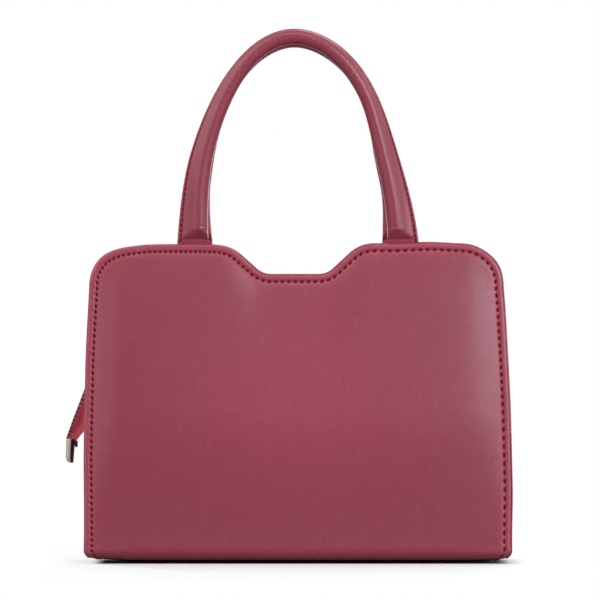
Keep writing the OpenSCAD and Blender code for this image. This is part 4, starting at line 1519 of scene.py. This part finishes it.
def arch_rings(span):
    """Angles along the arch, evenly spaced along its length, with more at the feet."""
    turn = np.linspace(0, math.pi, 4000)
    run = run_along(span * np.cos(turn), ARCH_RISE * np.sin(turn))
    feet = np.concatenate([np.arange(0, 14, 0.5) * MM, np.arange(14, 24, 1) * MM])
    middle = np.linspace(24 * MM, run[-1] - 24 * MM, 150)
    return np.interp(np.concatenate([feet, middle, run[-1] - feet[::-1]]), run, turn)


def half_section(turn):
    """Out from the middle line and half thickness of the section, for each ring: from the
    inner side round to the flange's edge."""
    h = ARCH_RISE * np.sin(turn)[:, None]
    tip = HANDLE_R + flange_at(turn)[:, None]
    sweep = np.linspace(0, ROUND_SWEEP, ROUND_STEPS)[None, :]
    out_round = -HANDLE_R * np.cos(sweep)
    join = -HANDLE_R * math.cos(ROUND_SWEEP)
    scale = np.minimum(1, (tip - join) / WIDEST)
    steps = np.array(TIP_STEPS[::-1])[None, :] * scale
    out = np.concatenate([np.broadcast_to(out_round, (len(turn), ROUND_STEPS)), tip - steps], 1)
    r = lerp(HANDLE_R, FULL_R, ramp(scale, 0.3, 0.8))
    centre = r - HANDLE_R
    circle = np.sqrt(np.maximum(r**2 - np.clip(out - centre, -r, r) ** 2, 0))
    seam_at = tip - HANDLE_SEAM_IN * scale
    far = seam_at - centre
    fall = np.tan(np.arcsin(np.minimum(r / np.hypot(far, PLY), 0.99)) - np.arctan2(PLY, far))
    touch = centre + r * np.sin(np.arctan(fall))
    way = np.clip((out - touch) / (seam_at - touch), 0, 1)
    straight = PLY + fall * np.maximum(seam_at - out, 0) - SAG * scale * np.sin(math.pi * way) ** 2
    thick = np.where(out > touch, straight, circle)
    tent = FOOT_HALF_T + TENT_SLOPE * np.maximum(h - TENT_START, 0)
    wrinkle = 0.22 * MM * dome(h, 10.8 * MM + 0.1 * out, 0.7 * MM) * dome(out, -1.5 * MM, 3 * MM)
    lower = np.minimum(thick, tent)
    thick = lower - TENT_EDGE * np.log1p(np.exp(-np.abs(thick - tent) / TENT_EDGE)) - wrinkle
    pinch = 1 - ramp(h, 0, FOOT_LEN)
    inner = -lerp(HANDLE_R, FOOT_INNER, 1 - ramp(h, 0, FOOT_LEN + PINCH_LEN))
    widened = np.where(out < 0, out * (-inner / HANDLE_R), out)
    edge_fall = np.sqrt(np.clip(1 - (np.clip(PLY - (tip - out), 0, PLY) / PLY) ** 2, 0, 1))
    inside = np.clip(FOOT_HALF_T - (widened - inner), 0, FOOT_HALF_T) / FOOT_HALF_T
    flat = FOOT_HALF_T * np.sqrt(np.clip(1 - inside**2, 0, 1))
    groove = dome((tip - out) / np.maximum(scale, 0.2), HANDLE_SEAM_IN, 0.6 * MM)
    groove = 0.3 * MM * groove * ramp(scale, 0.3, 0.5)
    full = np.minimum(thick, lerp(thick, flat, pinch)) - groove
    return widened, np.maximum(full, 0) * edge_fall, scale


def handle_frame(turn, span, facing):
    """The middle line and the outward direction of the arch at each ring."""
    level = np.full_like(turn, facing * HINGE_Y)
    middle = np.stack([span * np.cos(turn), level, HINGE_Z + ARCH_RISE * np.sin(turn)], -1)
    out = unit(np.stack([ARCH_RISE * np.cos(turn), np.zeros_like(turn), span * np.sin(turn)], -1))
    return middle, out


def hang(facing):
    """How a handle stands: both lean a little to the left, and the rear one bows outward."""
    def shape(points):
        p = np.array(points, float)
        h = p[:, 2] - HINGE_Z
        turn = np.arcsin(np.clip(h / ARCH_RISE, 0, 1))
        p[:, 1] += 0.35 * MM * np.sin(turn * 3 + facing) * np.sin(turn) ** 2
        if facing > 0:
            bow = REAR_BOW * ramp(h, 2 * MM, 42 * MM) - 1.3 * MM * dome(h, 50 * MM, 26 * MM)
            bow += 0.9 * MM * (p[:, 0] < 0) * (1 - ramp(h, 12 * MM, 34 * MM))
            p[:, 0] += bow * np.sign(p[:, 0]) * ramp(np.abs(p[:, 0]), 0, 40 * MM)
        right = dome(p[:, 0], 42 * MM, 26 * MM) * ramp(h, 60 * MM, 105 * MM)
        p[:, 0] -= LEAN * ramp(h, -5 * MM, 65 * MM) * (1 - right)
        return p
    return shape


def handle_cover(facing, span, name):
    """A handle's rolled leather and its thread. Its feet go down behind the panel's edge."""
    turn = arch_rings(span)
    out, half, scale = half_section(turn)
    middle, outward_dir = handle_frame(turn, span, facing)
    line = middle[:, None] + outward_dir[:, None] * out[..., None]
    near, far = line - ACROSS * half[..., None], line + ACROSS * half[..., None]
    loops = np.concatenate([near, far[:, ::-1]], 1)
    feet = []
    for end in (0, -1):
        rows = []
        for drop in FOOT_DROPS:
            row = loops[end].copy()
            row[:, 2] -= drop
            centre = facing * (HINGE_Y - 0.22 * MM)
            row[:, 1] = centre + (row[:, 1] - facing * HINGE_Y) * FOOT_SQUEEZE
            row[:, 1] += facing * drop * math.tan(PANEL_LEAN)
            rows.append(row)
        feet.append(rows if end == 0 else rows[::-1])
    points = np.concatenate([np.array(feet[0]), loops, np.array(feet[1])])
    size = loops.shape[1]
    steps = (out.max(1, keepdims=True) - out) / np.maximum(scale, 0.2)
    ring_run = summed(np.linalg.norm(np.diff(middle, axis=0), axis=1))
    from_foot = np.minimum(ring_run, ring_run[-1] - ring_run)[:, None]
    # Painted shade along the handle's stitch line, darker at each needle hole
    dash = 0.55 + 0.45 * holes((from_foot - 0.6 * MM) / HANDLE_STITCH)
    seam_half = dome(steps, HANDLE_SEAM_IN - 0.15 * MM, 0.85 * MM) * ramp(scale, 0.3, 0.5) * dash
    rim_half = dome(steps, 0, 0.9 * MM) * ramp(scale, 0.3, 0.5)
    pad = [np.zeros((3, size))]
    seam = np.concatenate(pad + [np.concatenate([seam_half, seam_half[:, ::-1]], 1)] + pad)
    rim_mask = np.concatenate(pad + [np.concatenate([rim_half, rim_half[:, ::-1]], 1)] + pad)
    obj = new_object(
        name + "_leather", points.reshape(-1, 3), swept(points), SHADED_HANDLE_LEATHER,
        masks={"seam": seam.ravel(), "rim": rim_mask.ravel()}, shape=hang(facing),
    )
    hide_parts(name)
    bend_over(obj)
    handle_thread(facing, span, name)


def bend_over(obj):
    """Bakes a handle piece's placement into its points."""
    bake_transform(obj)


def handle_thread(facing, span, name):
    """Stitches on both faces of the flange, as far up each leg as the flange is wide."""
    fine = np.linspace(0, math.radians(52), 2000)
    run = run_along(span * np.cos(fine), ARCH_RISE * np.sin(fine))
    places = np.interp(np.arange(0.6 * MM, run[-1], HANDLE_STITCH), run, fine)
    runs = []
    for mirrored in (False, True):
        t = math.pi - places if mirrored else places
        out, half, scale = half_section(t)
        middle, outward_dir = handle_frame(t, span, facing)
        tip = out.max(1)
        line = tip - HANDLE_SEAM_IN * scale[:, 0]
        thick = np.array([np.interp(line[i], out[i], half[i]) for i in range(len(t))])
        for side in (-1, 1):
            p = middle + outward_dir * line[:, None] + np.array([0, side, 0]) * thick[:, None]
            normals = np.tile([0.0, side, 0.0], (len(p) - 1, 1))
            runs.append((p[:-1], p[1:], normals))
    obj = stitch_mesh(name + "_thread", runs, shape=hang(facing))
    bend_over(obj)


STRAND_SHARE = 0.46
STRAND_SIDES = 8
CORD_LAY = 16 * MM


def handle_core(facing, span, name, body):
    """A laid cord of three strands."""
    bore = HANDLE_R - HANDLE_T - GAP / 2
    start = math.asin((FOOT_LEN + PINCH_LEN) / ARCH_RISE)
    turn = np.linspace(start, math.pi - start, 230)
    middle, out = handle_frame(turn, span, facing)
    run = summed(np.linalg.norm(np.diff(middle, axis=0), axis=1))
    strand_r = bore * STRAND_SHARE
    strands, faces = [], []
    sides = STRAND_SIDES
    for strand in range(3):
        lay = 2 * math.pi * (run / CORD_LAY + strand / 3)
        aside = out * np.cos(lay)[:, None] + ACROSS * np.sin(lay)[:, None]
        centre = middle + (bore - strand_r) * aside
        ring = []
        for j in range(sides):
            a = 2 * math.pi * j / sides
            ring.append(centre + strand_r * (out * math.cos(a) + ACROSS * math.sin(a)))
        tube = np.stack(ring, 1)
        faces += [[i + len(strands) * tube.shape[0] * sides for i in f] for f in swept(tube)]
        strands.append(tube.reshape(-1, 3))
    points = np.concatenate(strands)
    u = np.tile(np.repeat(run, sides), 3)
    v = np.tile(np.arange(sides) * 2 * strand_r * math.pi / sides, len(run) * 3)
    uvs = np.stack([u, v], -1)
    obj = new_object(name + "_cord", points, faces, CORD_FIBRE, uvs=uvs, shape=hang(facing))
    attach(obj, body)
    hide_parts(name)


for facing, span, row in ((-1, FRONT_HALF_SPAN, "front"), (1, REAR_HALF_SPAN, "rear")):
    handle_cover(facing, span, row + "_handle_cover")
    handle_core(facing, span, row + "_handle_core", row + "_handle")


# Handle tabs, boards and lining

TAB_STEPS = 14


def handle_tab(facing, side, span, name):
    """A thin leather tab between the panel and the facing, skived at its lower end."""
    low_x = side * span - (HANDLE_R + HANDLE_FLANGE_W if side < 0 else FOOT_HALF_W)
    width = FOOT_HALF_W + HANDLE_R + HANDLE_FLANGE_W
    share = np.linspace(0, 1, TAB_STEPS)
    x, z = np.meshgrid(low_x + width * share, BODY_H - TAB_DEPTH * share)
    u, v = np.meshgrid(share, share)
    edge_d = np.minimum(np.minimum(u, 1 - u) * width, (1 - v) * TAB_DEPTH)
    thin = rounding(edge_d, 0.5 * MM) * 0.9 + 0.35 * MM * ramp(v, 0.6, 1)
    along = facing * along_of(z)
    outer = folded(x, along, WRAP_T + thin)
    inner = folded(x, along, WRAP_T + TAB_T - thin * 0.3)
    outer, inner = outer.reshape(-1, 3), inner.reshape(-1, 3)
    faces = grid_faces(TAB_STEPS, TAB_STEPS)
    obj = solid_sheet(name + "_leather", outer, inner, faces, SHADED_HANDLE_LEATHER)
    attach(obj, "bag")
    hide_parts(name)


for facing, span, row in ((-1, FRONT_HALF_SPAN, "front"), (1, REAR_HALF_SPAN, "rear")):
    handle_tab(facing, -1, span, row + "_left_handle_tab")
    handle_tab(facing, 1, span, row + "_right_handle_tab")


def body_lining():
    """Lining cloth that hangs a little loose from the boards."""
    w, _ = spaced(BOARD_IN, 5 * MM)
    insets = [BOARD_IN + i * MM for i in (0, 1.5, 4)]
    layout, faces, d, _ = sheet_layout(w, insets, [BOARD_IN + 8 * MM], 7 * MM)
    x, along = layout.T
    loose = ramp(d, BOARD_IN, BOARD_IN + 25 * MM) * ramp(np.abs(along), FOLD_END, FOLD_END + 30 * MM)
    slack = loose * MM * (0.9 + 0.9 * np.sin(x / 0.017 + 2 * np.sin(along / 0.05)))
    near = folded(x, along, LINING_AT + 0.02 * MM + slack)
    far = folded(x, along, LINING_AT + LINING_T + slack)
    obj = solid_sheet("body_lining_cloth", near, far, faces, LINING_CLOTH, uvs=layout)
    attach(obj, "bag")
    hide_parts("body_lining")


def gusset_lining(side, name):
    low, high = LINING_AT + LINING_T + GAP, GUSSET_H - 6 * MM - GAP
    rows, cols = 22, 26
    v, u = np.meshgrid(np.linspace(0, 1, rows), np.linspace(-1, 1, cols), indexing="ij")
    z = lerp(low, high, v)
    y = u * wall_y(z, LINING_AT + LINING_T + 2 * GAP)
    y *= 1 - 0.02 * (1 - v) ** 6 * np.abs(u) ** 8
    slack = 0.5 * gusset_bulge(side, y, z) - 0.3 * MM * (1 + np.sin(y / 0.009)) * np.sin(math.pi * v)
    near = side_point(side, TAPE_IN + 0.02 * MM - slack, y, z).reshape(-1, 3)
    far = side_point(side, TAPE_IN + LINING_T - slack, y, z).reshape(-1, 3)
    uvs = np.stack([y, z], -1).reshape(-1, 2)
    obj = solid_sheet(name + "_cloth", near, far, grid_faces(rows, cols), LINING_CLOTH, uvs=uvs)
    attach(obj, "bag")
    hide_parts(name)


body_lining()
gusset_lining(-1, "left_gusset_lining")
gusset_lining(1, "right_gusset_lining")


def board(node):
    """A cut board that has settled with the leather, with its edges eased."""
    bm = joined_faces(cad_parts[node].data, 2)
    sharp_edges = [e for e in bm.edges if e.is_manifold and e.calc_face_angle() > math.radians(40)]
    bmesh.ops.bevel(bm, geom=sharp_edges, offset=0.25 * MM, segments=2, affect="EDGES", profile=0.5)
    for axis, low, high, step in (((1, 0, 0), -140, 141, 10), ((0, 0, 1), 10, 211, 10)):
        for at in range(low, high, step):
            whole = bm.verts[:] + bm.edges[:] + bm.faces[:]
            bmesh.ops.bisect_plane(bm, geom=whole, plane_co=Vector(axis) * at * MM, plane_no=axis)
    bmesh.ops.triangulate(bm, faces=[f for f in bm.faces if len(f.verts) > 4])
    mesh = bpy.data.meshes.new(node)
    bm.to_mesh(mesh)
    bm.free()
    mesh.vertices.foreach_set("co", settle([v.co for v in mesh.vertices]).ravel())
    mesh.shade_smooth()
    mesh.set_sharp_from_angle(angle=math.radians(50))
    mesh.materials.clear()
    mesh.materials.append(BOARD)
    obj = put(node + "_fibre", mesh)
    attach(obj, "bag")
    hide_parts(node)


for node in ("front_board", "back_board", "base_board"):
    board(node)


# Studio

CAMERA_X = 1.4 * MM
CAMERA_Z = 183.4 * MM
CAMERA_BACK = 7.0
VIEW_W = 420 * MM
SENSOR_W = 36.0


def camera():
    """The photograph's view: level, straight from the front and from far off."""
    data = bpy.data.cameras.new("camera")
    data.sensor_width = SENSOR_W
    data.lens = SENSOR_W * CAMERA_BACK / VIEW_W
    data.clip_end = 60
    obj = put("camera", data)
    obj.location = (CAMERA_X, -BASE_D / 2 - CAMERA_BACK, CAMERA_Z)
    obj.rotation_euler = (math.pi / 2, 0, 0)
    bpy.context.scene.camera = obj


def softbox(name, azimuth, elevation, distance, width, tall, power, colour=(1, 1, 1), glare=1.0):
    """A rectangular lamp that faces the bag. Azimuth 0 is the camera's side, 90 its right.
    Glare is its share in highlights."""
    data = bpy.data.lights.new(name, "AREA")
    data.shape = "RECTANGLE"
    data.size = width
    data.size_y = tall
    data.energy = power
    data.color = colour
    data.specular_factor = glare
    a, e = math.radians(azimuth), math.radians(elevation)
    towards = Vector((math.sin(a) * math.cos(e), -math.cos(a) * math.cos(e), math.sin(e)))
    obj = put(name, data)
    obj.location = Vector((0, 0, BODY_H / 2)) + towards * distance
    obj.rotation_euler = towards.to_track_quat("Z", "Y").to_euler()
    obj.visible_camera = False


# How bright the white room is on the bag, and in its mirrored light
AMBIENT = 0.36
MIRRORED = 0.8
FLOOR_DARK = (0.18, 0.18, 0.18, 1)
FLOOR_PALE = (0.76, 0.76, 0.76, 1)
FLOOR_MIRRORED = 0.4
LEFT_NEAR_SHARE = 0.68
SHADOW_GROWTH = 0.25
SHADOW_SPREAD = 12.0
# Metres past the bag's side, front or back between which the floor turns white
NEAR_LEFT = (-0.014, -0.004)
FAR_LEFT = (-0.004, 0.028)
PAST_RIGHT = (-0.004, 0.012)
PAST_FRONT = {"From Min": -0.03, "From Max": 0.46}


def white_world():
    """Plain surroundings: white to the camera, a little less in mirrors, and dim as a light."""
    world = bpy.data.worlds.new("white studio")
    world.use_nodes = True
    tree = world.node_tree
    ray = add(tree, "LightPath").outputs
    mirror = maths(tree, "MAXIMUM", ray["Is Glossy Ray"], ray["Is Transmission Ray"])
    level = maths(tree, "MULTIPLY_ADD", mirror, MIRRORED - AMBIENT, AMBIENT)
    level = maths(tree, "MULTIPLY_ADD", ray["Is Camera Ray"], 1 - AMBIENT, level)
    tree.nodes["Background"].inputs["Color"].default_value = (1, 1, 1, 1)
    connect(tree, level, tree.nodes["Background"].inputs["Strength"])
    bpy.context.scene.world = world


def stage_plane(name, half_x, half_y, material):
    """A flat part of the studio, which isn't part of the bag."""
    grid_x, grid_y = np.meshgrid(np.linspace(-half_x, half_x, 5), np.linspace(-half_y, half_y, 5))
    points = np.stack([grid_x.ravel(), grid_y.ravel(), np.zeros(grid_x.size)], -1)
    plane = new_object(name, points, grid_faces(5, 5), material, shape=None)
    return plane


def white_floor():
    """A pale floor that keeps the bag's shadow near it and is white further off. Its white
    begins beside the bag's ends, and further out the more a place lies before or behind it."""
    material, tree, shader = new_material("pale_floor")
    ray = add(tree, "LightPath").outputs
    away = add(tree, "SeparateXYZ", {"Vector": place(tree)}).outputs
    left = maths(tree, "SUBTRACT", -BASE_W / 2, away["X"])
    right = maths(tree, "SUBTRACT", away["X"], BASE_W / 2)
    ahead = maths(tree, "SUBTRACT", maths(tree, "ABSOLUTE", away["Y"]), BASE_D / 2)
    clear = maths(tree, "MAXIMUM", ahead, 0.0)
    wider = maths(tree, "MULTIPLY_ADD", clear, SHADOW_SPREAD, 1.0)
    left = maths(tree, "DIVIDE", maths(tree, "MULTIPLY_ADD", clear, SHADOW_GROWTH, left), wider)
    right = maths(tree, "DIVIDE", maths(tree, "MULTIPLY_ADD", clear, SHADOW_GROWTH, right), wider)
    near_left = maths(tree, "MULTIPLY", spread(tree, left, *NEAR_LEFT), LEFT_NEAR_SHARE)
    far_left = maths(tree, "MULTIPLY", spread(tree, left, *FAR_LEFT), 1 - LEFT_NEAR_SHARE)
    beside_left = maths(tree, "ADD", near_left, far_left)
    beside = maths(tree, "MAXIMUM", beside_left, spread(tree, right, *PAST_RIGHT))
    before = add(tree, "MapRange", {"Value": ahead, **PAST_FRONT}).outputs["Result"]
    white = maths(tree, "MAXIMUM", beside, before)
    mirror = maths(tree, "MAXIMUM", ray["Is Glossy Ray"], ray["Is Transmission Ray"])
    mirrored = maths(tree, "MULTIPLY", mirror, FLOOR_MIRRORED)
    seen = maths(tree, "MAXIMUM", ray["Is Camera Ray"], mirrored)
    pale = blend_colours(tree, seen, FLOOR_DARK, FLOOR_PALE)
    connect(tree, pale, shader["Base Color"])
    shader["Roughness"].default_value = 0.9
    shader["Specular IOR Level"].default_value = 0.0
    glow = add(tree, "Emission", {"Color": (1, 1, 1, 1), "Strength": 1.0})
    lit = add(tree, "MixShader")
    connect(tree, maths(tree, "MULTIPLY", white, ray["Is Camera Ray"]), lit.inputs[0])
    connect(tree, tree.nodes["Principled BSDF"].outputs[0], lit.inputs[1])
    connect(tree, glow.outputs[0], lit.inputs[2])
    connect(tree, lit.outputs[0], tree.nodes["Material Output"].inputs["Surface"])
    floor = stage_plane("studio_floor", 12, 12, material)
    floor.location.z = -BASE_SAG - 0.1 * MM


def dark_wall():
    """The unlit end of the room behind the camera, seen only in reflections."""
    material, _, shader = new_material("dark_room")
    shader["Base Color"].default_value = (0.03, 0.03, 0.03, 1)
    shader["Roughness"].default_value = 1.0
    wall = stage_plane("studio_dark_end", 5.2, 3.2, material)
    wall.location = (0.2, -6, 2.9)
    wall.rotation_euler = (math.pi / 2, 0, 0)
    wall.visible_camera = False
    wall.visible_diffuse = False
    wall.visible_transmission = False
    wall.visible_shadow = False


camera()
white_world()
white_floor()
dark_wall()

# Lamps: azimuth, elevation and distance, then width, height, power and colour
COOL = (0.95, 0.97, 1.06)
softbox("key", 35, 19, 2.2, 1.25, 1.0, 27.5, COOL)
softbox("front_top", 7, 11, 2.3, 1.2, 0.7, 1.3, COOL)
softbox("high_top", 8, 56, 2.4, 1.6, 1.0, 11.5, COOL, glare=0.35)
softbox("left_fill", -35, 14, 2.0, 1.2, 1.3, 6, glare=0.8)
softbox("left_top", -68, 38, 2.4, 2.2, 2.2, 25, glare=0.2)
softbox("right_side", 100, 22, 2.4, 1.6, 1.4, 10, glare=0.6)
softbox("back_fill", 172, 14, 2.4, 2.0, 1.4, 18, glare=0.6)
softbox("back_top", 150, 48, 2.4, 1.6, 1.2, 12)
bpy.context.scene.view_settings.view_transform = "Standard"
